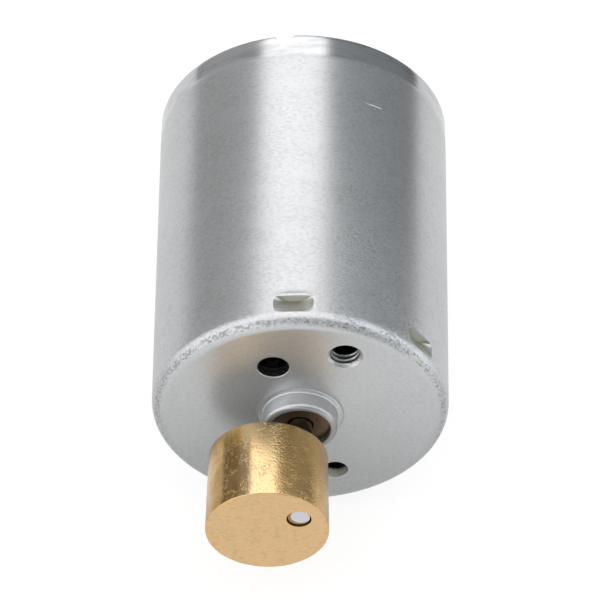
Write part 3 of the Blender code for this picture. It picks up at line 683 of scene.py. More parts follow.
def can_section():
    """Closed loop of (radius, y) points, from the boss's bore round the outside and back inside."""
    inner = can_radius - WALL
    band = can_radius - BAND_STEP
    lip_y = boss_front + BOSS_LIP
    groove = np.linspace(-1.0, 1.0, 13)
    dip = GROOVE_DEPTH * np.cos(groove * np.pi / 2) ** 2
    stop_y = np.concatenate([np.linspace(CORNER, STOP_REAR - HAIR, 24), np.linspace(STOP_REAR, STOP_LIP, 9)])
    tab_y = rim_rear - CRIMP_LENGTH
    past_y = STOP_LIP + PAST_STOPS
    return np.concatenate([
        straight((BOSS_BORE, WALL), (BOSS_BORE, lip_y), 4),
        straight((BOSS_BORE, boss_front + BOSS_BORE_EDGE), (BOSS_BORE + BOSS_BORE_EDGE, boss_front), 1),
        arc((BOSS_RADIUS - BOSS_LIP, lip_y), BOSS_LIP, -90.0, 0.0, 8),
        arc((BOSS_RADIUS + BOSS_FILLET, -BOSS_FILLET), BOSS_FILLET, 180.0, 90.0, 6),
        np.column_stack([GROOVE_MIDDLE + GROOVE_HALF * groove, dip]),
        straight((PLATE_FROM, 0.0), (can_radius - CORNER - PLATE_MARGIN, 0.0), 12),
        arc((can_radius - CORNER, CORNER), CORNER, -90.0, 0.0, 20),
        np.column_stack([np.full(len(stop_y), can_radius), stop_y]),
        straight((can_radius, past_y), (can_radius, BAND_FRONT - BAND_SLOPE), 16),
        [(can_radius, BAND_FRONT)],
        straight((band, BAND_FRONT + BAND_SLOPE), (band, rim_rear - RIM_EDGE), 8),
        arc((band - RIM_EDGE, rim_rear - RIM_EDGE), RIM_EDGE, 0.0, 90.0, 4),
        straight((RIM_INNER + RIM_BREAK, rim_rear), (RIM_INNER, rim_rear - RIM_BREAK), 1),
        straight((RIM_INNER, tab_y + HAIR), (RIM_INNER, tab_y), 1),
        straight((RIM_INNER, BAND_FRONT), (inner, BAND_FRONT), 1),
        straight((inner, BAND_FRONT - LINING_MARGIN), (inner, past_y), 8),
        np.column_stack([np.full(len(stop_y), inner), stop_y[::-1]]),
        arc((inner - INNER_CORNER, WALL + INNER_CORNER), INNER_CORNER, 0.0, -90.0, 4),
        straight((inner - INNER_CORNER - PLATE_MARGIN, WALL), (BOSS_BORE + PLATE_MARGIN, WALL), 8),
    ])


section = can_section()
print("stations round the section:", len(section))

# %% [markdown]
# A magnet stop is a dent that a punch makes from outside while its rear edge shears off cleanly, so
# that the magnet rests against a sharp step inside. The dent's depth is a bowl across, times a ramp
# along the axis that ends at the sheared edge. Inside the can the same dent shows as a bump.

# %% What pushes the can's grid
STOP_SPREAD = 28.1
STOP_HALF_WIDTH = 1.64
STOP_WAIST = 0.14
STOP_DEPTH = 0.76
LIP_HALF_WIDTH = 1.7
LIP_HEIGHT = 0.05
NOTCH_ANGLE = 32.8
NOTCH_HALF = 0.85
NOTCH_FLOOR_HALF = 0.55
NOTCH_DEPTH = 0.55
NOTCH_ROOM = 0.8
CRIMP_ANGLE = -8.0
CRIMP_HALF = 0.8
CRIMP_SIDE = 0.1
CRIMP_REACH = 0.58
OPPOSITE = (0.0, 180.0)
STOP_ANGLES = [HOUSING_CLOCK + half + side * STOP_SPREAD for half in OPPOSITE for side in (-1, 1)]
NOTCH_ANGLES = [HOUSING_CLOCK + NOTCH_ANGLE + half for half in OPPOSITE]
CRIMP_ANGLES = [HOUSING_CLOCK + CRIMP_ANGLE + 90.0 * quarter for quarter in range(4)]


def arc_distance(angles, centers):
    """Shortest way round the can, in millimetres, from each angle to the nearest of the centres."""
    turn = (angles[..., None] - np.radians(centers) + np.pi) % (2 * np.pi) - np.pi
    return can_radius * np.abs(turn).min(axis=-1)


def stop_dent(angles, y):
    """Depth of the dents: a bowl across, times a ramp up to the sheared edge, less a low lip behind it."""
    distance = arc_distance(angles, STOP_ANGLES)
    along = np.clip((y - STOP_TOE) / (STOP_REAR - STOP_TOE), 0.0, 1.0)
    half = STOP_HALF_WIDTH * (1.0 - STOP_WAIST * (2.0 * along - 1.0) ** 4)
    bowl = 1.0 - np.clip(distance / half, 0.0, 1.0) ** 2.6
    dent = STOP_DEPTH * bowl * along ** 0.75 * (y < STOP_REAR - HAIR / 2)
    swell = np.sin(np.pi * np.clip((STOP_LIP - y) / (STOP_LIP - STOP_REAR) * 0.75, 0.0, 1.0))
    lip = LIP_HEIGHT * swell * np.clip(1.0 - (distance / LIP_HALF_WIDTH) ** 2, 0.0, 1.0)
    return dent - lip * (y > STOP_REAR - HAIR / 2)


def rim_dip(angles):
    """Depth of the notches: nothing outside them, an eased slope at each side and a flat floor."""
    side = (NOTCH_HALF - arc_distance(angles, NOTCH_ANGLES)) / (NOTCH_HALF - NOTCH_FLOOR_HALF)
    side = np.clip(side, 0.0, 1.0)
    return NOTCH_DEPTH * side ** 2 * (3.0 - 2.0 * side)


def crimp_push(angles):
    """How far the rim's inner edge is pushed in: a tab with short sloping sides."""
    return CRIMP_REACH * np.clip((CRIMP_HALF - arc_distance(angles, CRIMP_ANGLES)) / CRIMP_SIDE, 0.0, 1.0)


def can_angles():
    """Grid lines round the can, in radians: even ones, and finer ones across each feature."""
    even = np.degrees(even_angles(300))
    to_degrees = np.degrees(1.0 / can_radius)
    stops = [center + STOP_HALF_WIDTH * to_degrees * np.linspace(-1.0, 1.0, 33) for center in STOP_ANGLES]
    edges = np.linspace(NOTCH_FLOOR_HALF, NOTCH_HALF, 7) * to_degrees
    notches = [center + np.concatenate([-edges, edges]) for center in NOTCH_ANGLES]
    edges = np.array([CRIMP_HALF - CRIMP_SIDE, CRIMP_HALF]) * to_degrees
    crimps = [center + np.concatenate([-edges, edges]) for center in CRIMP_ANGLES]
    lines = np.concatenate([even, *stops, *notches, *crimps]) % 360.0
    return np.radians(np.unique(np.round(lines, 2)))


can_lines = can_angles()
print("grid lines round the can:", len(can_lines))

# %% [markdown]
# Now the section goes round the axis and the formulas push it. Each push acts only on the rings it
# belongs to, so the inside of the rim and the edge of the band keep their own lines.

# %% Blank of the can


def can_points():
    """The section carried round the axis, then dented, notched and crimped by the formulas above."""
    radius, y = (column[:, None] for column in section.T)
    angles = can_lines[None, :]
    inner = can_radius - WALL
    on_side = (y > STOP_TOE) & (y < STOP_LIP + HAIR) & (radius > inner - INNER_CORNER)
    radius = radius - stop_dent(angles, y) * on_side
    on_tab = (radius < RIM_INNER + 2 * RIM_BREAK) & (radius > inner + HAIR)
    on_tab = on_tab & (y > rim_rear - CRIMP_LENGTH + HAIR / 2)
    radius = radius - crimp_push(angles) * on_tab
    rim_share = np.clip((y - (rim_rear - NOTCH_ROOM)) / NOTCH_ROOM, 0.0, 1.0)
    on_step = (np.abs(y - BAND_FRONT) < BAND_SLOPE + HAIR) & (radius > RIM_INNER + HAIR)
    ears = EAR * np.sin(2 * angles) ** 2 * on_step
    return turned_points(radius, y - rim_dip(angles) * rim_share + ears, angles)


can_shell = grid_object("can_shell", can_points())
print("blank of the can:", len(can_shell.data.polygons), "faces")

# %% [markdown]
# Two of the holes in the front face are tapped for M2.6 screws. The tap leaves a helix, and a helix
# is a formula: the radius depends on the height and the angle together, so one turn of angle moves
# the ridge by one pitch. Cutting that shape out of the can leaves the real thread. Punching such a
# hole also draws a small collar inwards, which gives the thread its length. The other two are vents.

# %% Holes in the front face
THREAD_PITCH = 0.45
THREAD_MINOR = 1.06
THREAD_MAJOR = 1.29
THREAD_FLAT = 0.12
THREAD_FLANK = 0.72
THREAD_RINGS = 14
THREAD_MOUTH = 1.36
MOUTH_SLOPE = 0.6
MOUTH_EDGE = 1.46
EDGE_SLOPE = 1.2
COLLAR_RADIUS = 1.8
COLLAR_REAR = 1.2
COLLAR_ROUND = 0.15
CUT_MARGIN = 0.4
VENT_EDGE = 0.07
# Radius of each vent, its distance from the axis, and its angle
VENTS = ((1.3, 6.58, HOUSING_CLOCK + 44.8), (1.05, 8.0, HOUSING_CLOCK - 133.2))


def placed(points, radius, angle):
    """Points moved out from the axis along the direction at the angle."""
    turn = np.radians(angle)
    return points + np.array([radius * np.cos(turn), 0.0, radius * np.sin(turn)])


def thread_tool():
    """Tap: minor radius plus a flattened triangle wave of (y / pitch - angle), and two cones at its mouth."""
    y = np.arange(-CUT_MARGIN, COLLAR_REAR + CUT_MARGIN, THREAD_PITCH / THREAD_RINGS)[:, None]
    angles = even_angles(72)[None, :]
    wave = np.abs((y / THREAD_PITCH - angles / (2 * np.pi)) % 1.0 - 0.5) * 2.0
    rise = np.clip((wave - THREAD_FLAT) / THREAD_FLANK, 0.0, 1.0)
    radius = THREAD_MINOR + (THREAD_MAJOR - THREAD_MINOR) * rise
    mouth = np.maximum(THREAD_MOUTH - MOUTH_SLOPE * y, MOUTH_EDGE - EDGE_SLOPE * y)
    return turned_points(np.maximum(radius, mouth), y, angles)


def vent_tool(radius):
    """Punch with a small round at the front edge of its hole."""
    edge = arc((radius + VENT_EDGE, VENT_EDGE), VENT_EDGE, 270.0, 180.0, 4)
    profile = np.concatenate([[(radius + VENT_EDGE, -CUT_MARGIN)], edge, [(radius, WALL + CUT_MARGIN)]])
    return turned_profile(profile, 64)


def collar_blank():
    """Plain drum that the tapped collar is cut from, with a small round at its inner end."""
    end = arc((COLLAR_RADIUS - COLLAR_ROUND, COLLAR_REAR - COLLAR_ROUND), COLLAR_ROUND, 0.0, 90.0, 4)
    return turned_profile(np.concatenate([[(COLLAR_RADIUS, WALL / 2)], end]), 48)


def at_mounts(name, points):
    """One copy of a tool at each tapped hole."""
    return [grid_object(name, placed(points, MOUNT_RADIUS, HOUSING_CLOCK + half), False) for half in OPPOSITE]


carve(can_shell, at_mounts("collar", collar_blank()), "UNION")
punches = [grid_object("punch", placed(vent_tool(size), out, angle), False) for size, out, angle in VENTS]
carve(can_shell, at_mounts("tap", thread_tool()) + punches)
dress(can_shell, "can", "housing", can_finish)

# %% [markdown]
# The weight is brass bar, cut to length and drilled near its edge. The side of the bar has a paler strip
# painted on as highlight, a darker strip painted to its left as shade and a pebbled right side, with fine
# lines along it and a few curved scratches. The front end is sawn and dull, the rear end grey, and the
# bore is painted dark as shade.

# %% Brass
BRASS = (0.67, 0.44, 0.185)
BRASS_DEEP = (0.58, 0.37, 0.145)
BRASS_SAWN = (0.72, 0.49, 0.26)
# A paler colour painted on as highlight, and a darker one for speckle that also paints a strip of shade
BRASS_PAINTED_HIGHLIGHT = (0.74, 0.53, 0.28)
BRASS_SPECKLE_AND_SHADE = (0.45, 0.28, 0.1)
BRASS_REAR = (0.5, 0.46, 0.39)
# Painted shade in the weight's bore
BORE_PAINTED_SHADE = (0.28, 0.15, 0.06)
SCUFF = 0.04
SAWN_DULL = 0.18
LATHE = 0.85
BRASS_RELIEF = 0.008

weight_low, weight_high = node_box("eccentric_weight")
weight_front, weight_rear = weight_low[1], weight_high[1]
weight_center = (weight_low + weight_high) / 2
weight_radius = round((weight_high[0] - weight_low[0]) / 2, 2)


def scratches(brass, per_mm, stretch, turn, width):
    """Hairlines: where a stretched noise passes through its middle value, broken up by a second noise."""
    from_middle = brass.size(brass.minus(brass.noise(per_mm, 1.0, stretch, turn), 0.5))
    breaks = brass.ramp(brass.noise(0.9, 2.0), 0.48, 0.6)
    return brass.times(brass.ramp(from_middle, width, 0.0), breaks)


def brass_color(brass, across, worn, front, rear):
    """Colour of the bar with its painted highlight and shade strips, its sawn front, its grey rear and its
    bore painted dark as shade, all finely speckled.
    """
    x, _, z = brass.xyz
    bar = brass.tint(brass.ramp(worn, 0.4, 0.65), BRASS, BRASS_DEEP)
    # Painted highlight: a paler strip along the top of the side, where the soft light reflects
    highlight_strip = brass.times(brass.strip(across, -1.7, 0.5, 0.8), brass.ramp(z, 0.0, 1.0))
    bar = brass.tint(highlight_strip, bar, BRASS_PAINTED_HIGHLIGHT)
    # Painted shade: a darker strip left of the highlight, where the dark wall reflects
    shade_strip = brass.times(brass.strip(across, -4.2, -2.6, 0.6), brass.ramp(worn, 0.3, 0.6))
    bar = brass.tint(shade_strip, bar, BRASS_SPECKLE_AND_SHADE)
    saw_marks = brass.ramp(brass.noise(4.0, 5.0, (0.5, 1.0, 1.0)), 0.45, 0.85)
    sawn = brass.tint(saw_marks, BRASS_SAWN, BRASS_DEEP)
    ends = brass.tint(rear, brass.tint(front, bar, sawn), BRASS_REAR)
    speckle = brass.ramp(brass.noise(11.0, 2.0), 0.56, 0.7, 0.0, 0.4)
    # Painted shade: the bore is darkened where it lies in shadow round the shaft
    bore = brass.ramp(brass.length(x, z), 1.03, 1.01)
    return brass.tint(bore, brass.tint(speckle, ends, BRASS_SPECKLE_AND_SHADE), BORE_PAINTED_SHADE)


def brass_relief(brass, across):
    """Height of the surface: drawn lines, scratches and pebbled grain that grows to the right, less pits."""
    drawn = brass.noise(9.0, 3.0, (1.0, 0.03, 1.0))
    marks = brass.plus(scratches(brass, 1.4, (1.0, 1.0, 1.0), 0.6, 0.014),
                       scratches(brass, 2.3, (1.0, 0.6, 1.0), 1.9, 0.02))
    grain = brass.times(brass.noise(6.0, 2.0), brass.ramp(across, -0.5, 1.6, 0.6, 4.5))
    height = brass.plus(brass.times(drawn, 0.15), brass.times(marks, 1.4), grain)
    pit_dots = brass.ramp(brass.noise(6.0, 2.0), 0.6, 0.72)
    pits = brass.times(pit_dots, brass.ramp(brass.noise(0.6, 2.0), 0.45, 0.6))
    return brass.minus(height, brass.times(pits, 2.2))


def turned_brass():
    """Drawn brass bar whose gloss is drawn out along it, except on its duller sawn end."""
    brass = Finish("turned_brass", BRASS, 1.0, 0.22)
    x, y, _ = brass.xyz
    across = brass.minus(x, weight_center[0])
    front = brass.ramp(y, weight_front + 0.05, weight_front + 0.01)
    rear = brass.ramp(y, weight_rear - 0.05, weight_rear - 0.01)
    patches = brass.noise(0.5, 4.0)
    streaks = brass.noise(5.0, 3.0, (1.0, 0.04, 1.0))
    worn = brass.plus(brass.times(patches, 0.75), brass.times(streaks, 0.25))
    brass.feed("Base Color", brass_color(brass, across, worn, front, rear))
    scuffed = brass.ramp(across, 0.6, 2.2, 0.0, SCUFF)
    duller = brass.most(scuffed, brass.times(brass.most(front, rear), SAWN_DULL))
    brass.feed("Roughness", brass.plus(brass.ramp(worn, 0.35, 0.65, 0.13, 0.18), duller))
    brass.feed("Anisotropic", brass.minus(LATHE, brass.times(front, LATHE)))
    brass.feed("Anisotropic Rotation", 0.25)
    way_round = brass.put("Tangent", {}, direction_type="RADIAL", axis="Y").outputs["Tangent"]
    brass.feed("Tangent", way_round)
    brass.roughen(brass_relief(brass, across), BRASS_RELIEF)
    return brass.material


brass_finish = turned_brass()
print(f"weight: radius {weight_radius:.2f}, centre {weight_center.round(2)}")

# %% [markdown]
# The weight's section can't simply be turned, because the bore and the outside have different centres.
# Each ring of the grid is still a circle, though: its centre slides from the outside's centre to the
# bore's, and its radius with it, so the end faces fill without a cut. The saw left the outer edge crisp
# and slightly uneven, and the bar is a little wider at the front.

# %% Weight
WEIGHT_BORE = 1.005
BORE_EDGE = 0.015
WEIGHT_EDGE = 0.07
WEIGHT_AROUND = 192
WEIGHT_DRAFT = 0.07


def edge_wear(angles):
    """Size of the outer edge's round at each angle: its mean, a little larger and smaller along the way."""
    return WEIGHT_EDGE * (1.0 + 0.35 * np.sin(5 * angles + 1.0) * np.sin(11 * angles))


def weight_points():
    """Rings of slid circles: share 1 is centred on the bar and share 0 on the bore."""
    angles = even_angles(WEIGHT_AROUND)[None, :]
    edge = edge_wear(angles)
    quarter = np.radians(np.linspace(0.0, 90.0, 6))[:, None]
    side = np.linspace(0.0, 1.0, 14)[1:-1, None]
    across = np.linspace(0.0, 1.0, 16)[1:-1, None]
    ones = np.ones_like(edge)
    wide = (weight_radius + WEIGHT_DRAFT) * ones
    narrow = (weight_radius - WEIGHT_DRAFT) * ones
    chamfer = WEIGHT_BORE + BORE_EDGE
    side_length = weight_rear - weight_front - 2 * edge
    stack = [
        (ones, wide - edge + edge * np.sin(quarter), weight_front + edge - edge * np.cos(quarter)),
        (ones, blend(wide, narrow, side), weight_front + edge + side_length * side),
        (ones, narrow - edge + edge * np.cos(quarter), weight_rear - edge + edge * np.sin(quarter)),
        (1.0 - across, (narrow - edge) * (1.0 - across) + chamfer * across, weight_rear * ones),
        (0.0 * ones, chamfer * ones, weight_rear * ones),
        (0.0 * ones, WEIGHT_BORE * ones, (weight_rear - BORE_EDGE) * ones),
        (0.0 * ones, WEIGHT_BORE * ones, (weight_front + BORE_EDGE) * ones),
        (0.0 * ones, chamfer * ones, weight_front * ones),
        (across, (wide - edge) * across + chamfer * (1.0 - across), weight_front * ones),
    ]
    full = [np.broadcast_arrays(share * ones, radius * ones, y * ones) for share, radius, y in stack]
    share, radius, y = (np.concatenate(columns) for columns in zip(*full))
    points = turned_points(radius, y, angles)
    return points + share[..., None] * np.array([weight_center[0], 0.0, weight_center[2]])


brass_weight = grid_object("brass_weight", weight_points())
dress(brass_weight, "eccentric_weight", "rotor", brass_finish)

# %% [markdown]
# The shaft is ground steel. Only a little of it shows: a short length behind the weight, its sawn
# front end in the weight's bore, and its tail in the end cover. The ends are nearly flat with the ridges
# of the saw across them, so a slow wave across each face moves its rings. The length by the bush is
# painted darker as shade. The front end is pale, and brown towards its edge on one side.

# %% Shaft
SHAFT_RADIUS = 1.0
SHAFT_EDGE = 0.12
SHAFT_MIDDLE = 0.03
SAW_RIDGE = 0.012
SAW_PITCH = 0.23
SAW_SLANT = 0.4
SHAFT_COLOR = (0.42, 0.42, 0.41)
# Painted shade on the shaft by the bush
SHAFT_PAINTED_SHADE = (0.27, 0.26, 0.2)
SHAFT_SAWN = (0.6, 0.6, 0.64)
# Brown towards the edge of the front end, on one side
SHAFT_EDGE_BROWN = (0.34, 0.2, 0.09)
STAIN_OFF_X = 0.14
STAIN_OFF_Z = 0.16


def ground_steel(front, bush_front):
    """Ground bar: fine lines round it, painted shade by the bush, and a pale front end that is brown towards
    its edge on one side.
    """
    bar = Finish("ground_steel", SHAFT_COLOR, 1.0, 0.2)
    x, y, z = bar.xyz
    # Painted shade: the shaft is darker between the weight and the bush, and into the bush
    shade_start = bar.ramp(y, bush_front - 2.4, bush_front - 1.6)
    shade_by_bush = bar.times(shade_start, bar.ramp(y, bush_front + 4.0, bush_front + 3.0))
    at_end = bar.ramp(y, front + 0.2, front + 0.1)
    # The front end is brown towards its edge on one side
    off_middle = bar.length(bar.minus(x, STAIN_OFF_X), bar.minus(z, STAIN_OFF_Z))
    sawn = bar.tint(bar.ramp(off_middle, 0.76, 0.86), SHAFT_SAWN, SHAFT_EDGE_BROWN)
    bar.feed("Base Color", bar.tint(at_end, bar.tint(shade_by_bush, SHAFT_COLOR, SHAFT_PAINTED_SHADE), sawn))
    bar.feed("Roughness", bar.ramp(bar.noise(2.0, 3.0), 0.3, 0.7, 0.17, 0.26))
    bar.roughen(bar.noise(14.0, 2.0, (0.05, 1.0, 0.05)), 0.002)
    return bar.material


def shaft_points(front, rear):
    """Rings from the middle of the front end to that of the rear end, with the saw's wave on the ends."""
    angles = even_angles(72)[None, :]
    rim = SHAFT_RADIUS - SHAFT_EDGE
    face = np.linspace(SHAFT_MIDDLE, rim, 10)
    side = np.linspace(front + SHAFT_EDGE, rear - SHAFT_EDGE, 24)
    radius = np.concatenate([face, np.full(len(side), SHAFT_RADIUS), face[::-1]])[:, None]
    y = np.concatenate([np.full(len(face), front), side, np.full(len(face), rear)])[:, None]
    points = turned_points(radius, y, angles)
    on_end = np.clip((rim - radius) / rim + 0.3, 0.0, 1.0) * (radius < rim + HAIR)
    wave = np.sin(2 * np.pi * (points[..., 0] + SAW_SLANT * points[..., 2]) / SAW_PITCH)
    points[..., 1] += SAW_RIDGE * (1.0 + wave) / 2 * on_end * np.sign((front + rear) / 2 - y)
    return points


shaft_low, shaft_high = node_box("shaft")
steel_shaft = grid_object("steel_shaft", shaft_points(shaft_low[1], shaft_high[1]), False)
shaft_finish = ground_steel(shaft_low[1], node_box("front_bush")[0][1])
dress(steel_shaft, "shaft", "rotor", shaft_finish)

# %% [markdown]
# The bushes are pressed from bronze powder and soaked in oil, so they are dull, brown and full of
# tiny pores. They are plain rings with a small round at each outer edge and a steep mouth at each end
# of the bore.

# %% Bushes
BUSH_RADIUS = 2.48
BUSH_BORE = 1.03
BUSH_ROUND = 0.08
MOUTH_WIDTH = 0.08
MOUTH_DEPTH = 0.5
BRONZE = (0.2, 0.135, 0.09)
PORE = (0.05, 0.03, 0.02)
PORES_PER_MM = 9.0


def sintered_bronze():
    """Dull brown metal with pores: dark dots where a fine cell pattern is near its middles."""
    bronze = Finish("sintered_bronze", BRONZE, 0.9, 0.42)
    cells = bronze.put("TexVoronoi", {"Vector": bronze.place, "Scale": PORES_PER_MM}).outputs["Distance"]
    pores = bronze.ramp(cells, 0.3, 0.12)
    bronze.feed("Base Color", bronze.tint(pores, BRONZE, PORE))
    bronze.feed("Roughness", bronze.ramp(bronze.noise(3.0, 3.0), 0.3, 0.7, 0.36, 0.5))
    bronze.roughen(bronze.minus(1.0, pores), 0.01)
    return bronze.material


def bush_points(front, rear):
    """Closed section of a ring, with an arc at each outer edge and a steep mouth at each end of the bore."""
    outer = BUSH_RADIUS - BUSH_ROUND
    profile = np.concatenate([
        [(BUSH_BORE, rear - MOUTH_DEPTH), (BUSH_BORE, front + MOUTH_DEPTH), (BUSH_BORE + MOUTH_WIDTH, front)],
        arc((outer, front + BUSH_ROUND), BUSH_ROUND, -90.0, 0.0, 5),
        arc((outer, rear - BUSH_ROUND), BUSH_ROUND, 0.0, 90.0, 5),
        [(BUSH_BORE + MOUTH_WIDTH, rear)],
    ])
    return turned_profile(profile, 96)


bronze_finish = sintered_bronze()
for end in ("front", "rear"):
    low, high = node_box(f"{end}_bush")
    bush = grid_object(f"bronze_bush_{end}", bush_points(low[1], high[1]))
    dress(bush, f"{end}_bush", "housing", bronze_finish)

# %% [markdown]
# The end cover is moulded in black nylon. A turned section gives its dish, hub and rounded edges.
# Blocks round the two solder tags are joined to it, and the slots and vents are cut through, as the
# mould's cores would leave them.

# %% End cover
COVER_RADIUS = 11.62
COVER_REAR = 30.4
COVER_EDGE = 0.3
COVER_FRONT_EDGE = 0.1
COVER_SOFT = 0.12
COVER_RIM = 1.3
COVER_RECESS = 0.4
DISH_MARGIN = 0.5
HUB_RADIUS = 3.4
HUB_STEP = 0.7
HUB_LIP = 1.3
BUSH_ROOM = 0.05
COVER_VENT = 1.2
COVER_VENT_OUT = 7.25
COVER_VENT_ANGLE = 32.0
TAG_NEAR = 6.0
TAG_WIDTH = 2.4
TAG_INNER = 4.25
TAG_THICKNESS = 0.5
PAD_WALL = 0.6
PAD_HEIGHT = 0.6
PAD_FRONT = 29.5
PAD_ROUND = 0.15
SLOT_ROUND = 0.01
SLOT_PAST = 0.5
CORE_FRONT = 28.0
CORE_REAR = 31.0
FIT = 0.02

cover_low, cover_high = node_box("end_bell")


def black_nylon():
    """Moulded nylon: a fine even grain, and slightly cloudy gloss."""
    nylon = Finish("black_nylon", (0.022, 0.022, 0.024), 0.0, 0.45)
    nylon.vary(nylon.noise(0.4, 3.0), (0.018, 0.018, 0.02), (0.03, 0.03, 0.032), 0.4, 0.54)
    nylon.roughen(nylon.noise(7.0, 4.0), 0.006)
    return nylon.material


def cover_points():
    """Closed section of the cover, from its front face round the rim, the dish and the hub to the bore."""
    floor_y = COVER_REAR - COVER_RECESS
    hub_rear = cover_high[1]
    bush_rear = node_box("rear_bush")[1][1] + BUSH_ROOM
    bore = BUSH_RADIUS + FIT
    edge = COVER_EDGE
    soft = COVER_SOFT
    front_edge = COVER_FRONT_EDGE
    dish = COVER_RADIUS - COVER_RIM
    hub_foot = HUB_RADIUS + HUB_STEP
    profile = np.concatenate([
        [(bore, cover_low[1])],
        straight((COVER_RADIUS - front_edge, cover_low[1]), (COVER_RADIUS, cover_low[1] + front_edge), 1),
        arc((COVER_RADIUS - edge, COVER_REAR - edge), edge, 0.0, 90.0, 6),
        arc((dish + soft, COVER_REAR - soft), soft, 90.0, 180.0, 4),
        arc((dish - soft, floor_y + soft), soft, 0.0, -90.0, 4),
        straight((dish - DISH_MARGIN, floor_y), (hub_foot + DISH_MARGIN, floor_y), 6),
        arc((hub_foot + soft, floor_y + soft), soft, 270.0, 180.0, 4),
        arc((hub_foot - soft, COVER_REAR - soft), soft, 0.0, 90.0, 4),
        arc((HUB_RADIUS + soft, COVER_REAR + soft), soft, 270.0, 180.0, 4),
        arc((HUB_RADIUS - edge, hub_rear - edge), edge, 0.0, 90.0, 6),
        arc((HUB_LIP + soft, hub_rear - soft), soft, 90.0, 180.0, 4),
        [(HUB_LIP, bush_rear), (bore, bush_rear)],
    ])
    return turned_profile(profile, 160)


def rounded_loop(half_x, half_y, radius, steps=5):
    """Rectangle about the origin with round corners, counter-clockwise."""
    x, y = half_x - radius, half_y - radius
    starts = (((x, y), 0.0), ((-x, y), 90.0), ((-x, -y), 180.0), ((x, -y), 270.0))
    return np.concatenate([arc(center, radius, start, start + 90.0, steps) for center, start in starts])


def pole_frame(pole):
    """Outward and sideways directions of a solder tag: the two tags are half a turn apart."""
    turn = np.radians(HOUSING_CLOCK if pole == "positive" else HOUSING_CLOCK + 180.0)
    out = np.array([np.cos(turn), 0.0, np.sin(turn)])
    return out, np.array([np.sin(turn), 0.0, -np.cos(turn)])


def block_points(pole, wall, front, rear, soft):
    """Block round a tag's blade: a rounded loop in the plane across the axis, drawn in at its rear edge."""
    out, aside = pole_frame(pole)
    middle = out * (TAG_INNER + TAG_THICKNESS / 2) + aside * (TAG_NEAR + TAG_WIDTH / 2)
    half_out = TAG_THICKNESS / 2 + wall
    half_aside = TAG_WIDTH / 2 + wall
    quarter = np.radians(np.linspace(0.0, 90.0, 5))
    inset = np.concatenate([[0.0], soft - soft * np.cos(quarter)])
    y = np.concatenate([[front], rear - soft + soft * np.sin(quarter)])
    loops = [rounded_loop(half_out - draw, half_aside - draw, max(wall, 0.1) * 0.6) for draw in inset]
    flat = np.stack(loops)
    points = middle + flat[..., :1] * out + flat[..., 1:] * aside
    points[..., 1] = y[:, None]
    return points


def blocks(name, wall, front, rear, soft):
    """One block at each solder tag."""
    return [grid_object(name, block_points(pole, wall, front, rear, soft), False) for pole in POLES]


POLES = ("positive", "negative")
nylon_cover = grid_object("nylon_cover", cover_points())
pad_rear = COVER_REAR + PAD_HEIGHT
carve(nylon_cover, blocks("pad", PAD_WALL, PAD_FRONT, pad_rear, PAD_ROUND), "UNION")
cores = blocks("slot", FIT, CORE_FRONT, pad_rear + SLOT_PAST, SLOT_ROUND)
vent_core = turned_profile(np.array([(COVER_VENT, CORE_FRONT), (COVER_VENT, CORE_REAR)]), 48)
for half in OPPOSITE:
    vent_place = placed(vent_core, COVER_VENT_OUT, HOUSING_CLOCK + COVER_VENT_ANGLE + half)
    cores.append(grid_object("cover_vent", vent_place, False))
carve(nylon_cover, cores)
dress(nylon_cover, "end_bell", "housing", black_nylon())

# %% [markdown]
# Each solder tag is a tinned brass blade with a round tip and a hole for a lead. Its grid runs from
# the outline to the hole's edge, through the hole and back on the other side. Every point of the
# outline pairs with the point of the hole that lies in the same direction from the hole's centre, so
# no two grid lines cross.

# %% Solder tags
TAG_FRONT = 25.2
TAG_REAR = node_box("terminal_positive")[1][1]
TAG_CORNER = 0.7
TAG_EDGE = 0.06
TAG_HOLE = 0.5
TAG_HOLE_BACK = 1.6
TAG_RINGS = 7


def tin_plate():
    """Dipped tin: a soft, slightly yellow gloss with cloudy patches and dull streaks along the blade."""
    tin = Finish("tin_plate", (0.62, 0.6, 0.54), 1.0, 0.35)
    tin.vary(tin.noise(1.6, 4.0), (0.66, 0.64, 0.59), (0.52, 0.49, 0.42), 0.26, 0.46)
    tin.roughen(tin.noise(5.0, 3.0, (1.0, 0.3, 1.0)), 0.008)
    return tin.material


def tag_outline(steps):
    """Outline in (aside, y) about the hole's centre: straight sides, square foot and a rounded tip."""
    half = TAG_WIDTH / 2
    tip = TAG_HOLE_BACK
    foot = TAG_FRONT - (TAG_REAR - TAG_HOLE_BACK)
    corner = TAG_CORNER
    right = arc((half - corner, tip - corner), corner, 0.0, 90.0, steps)
    left = arc((corner - half, tip - corner), corner, 90.0, 180.0, steps)
    down = straight((-half, tip - corner), (-half, foot), 2 * steps)[1:]
    across = straight((-half, foot), (half, foot), steps)[1:]
    up = straight((half, foot), (half, tip - corner), 2 * steps)[1:-1]
    return np.concatenate([right, left, down, across, up])


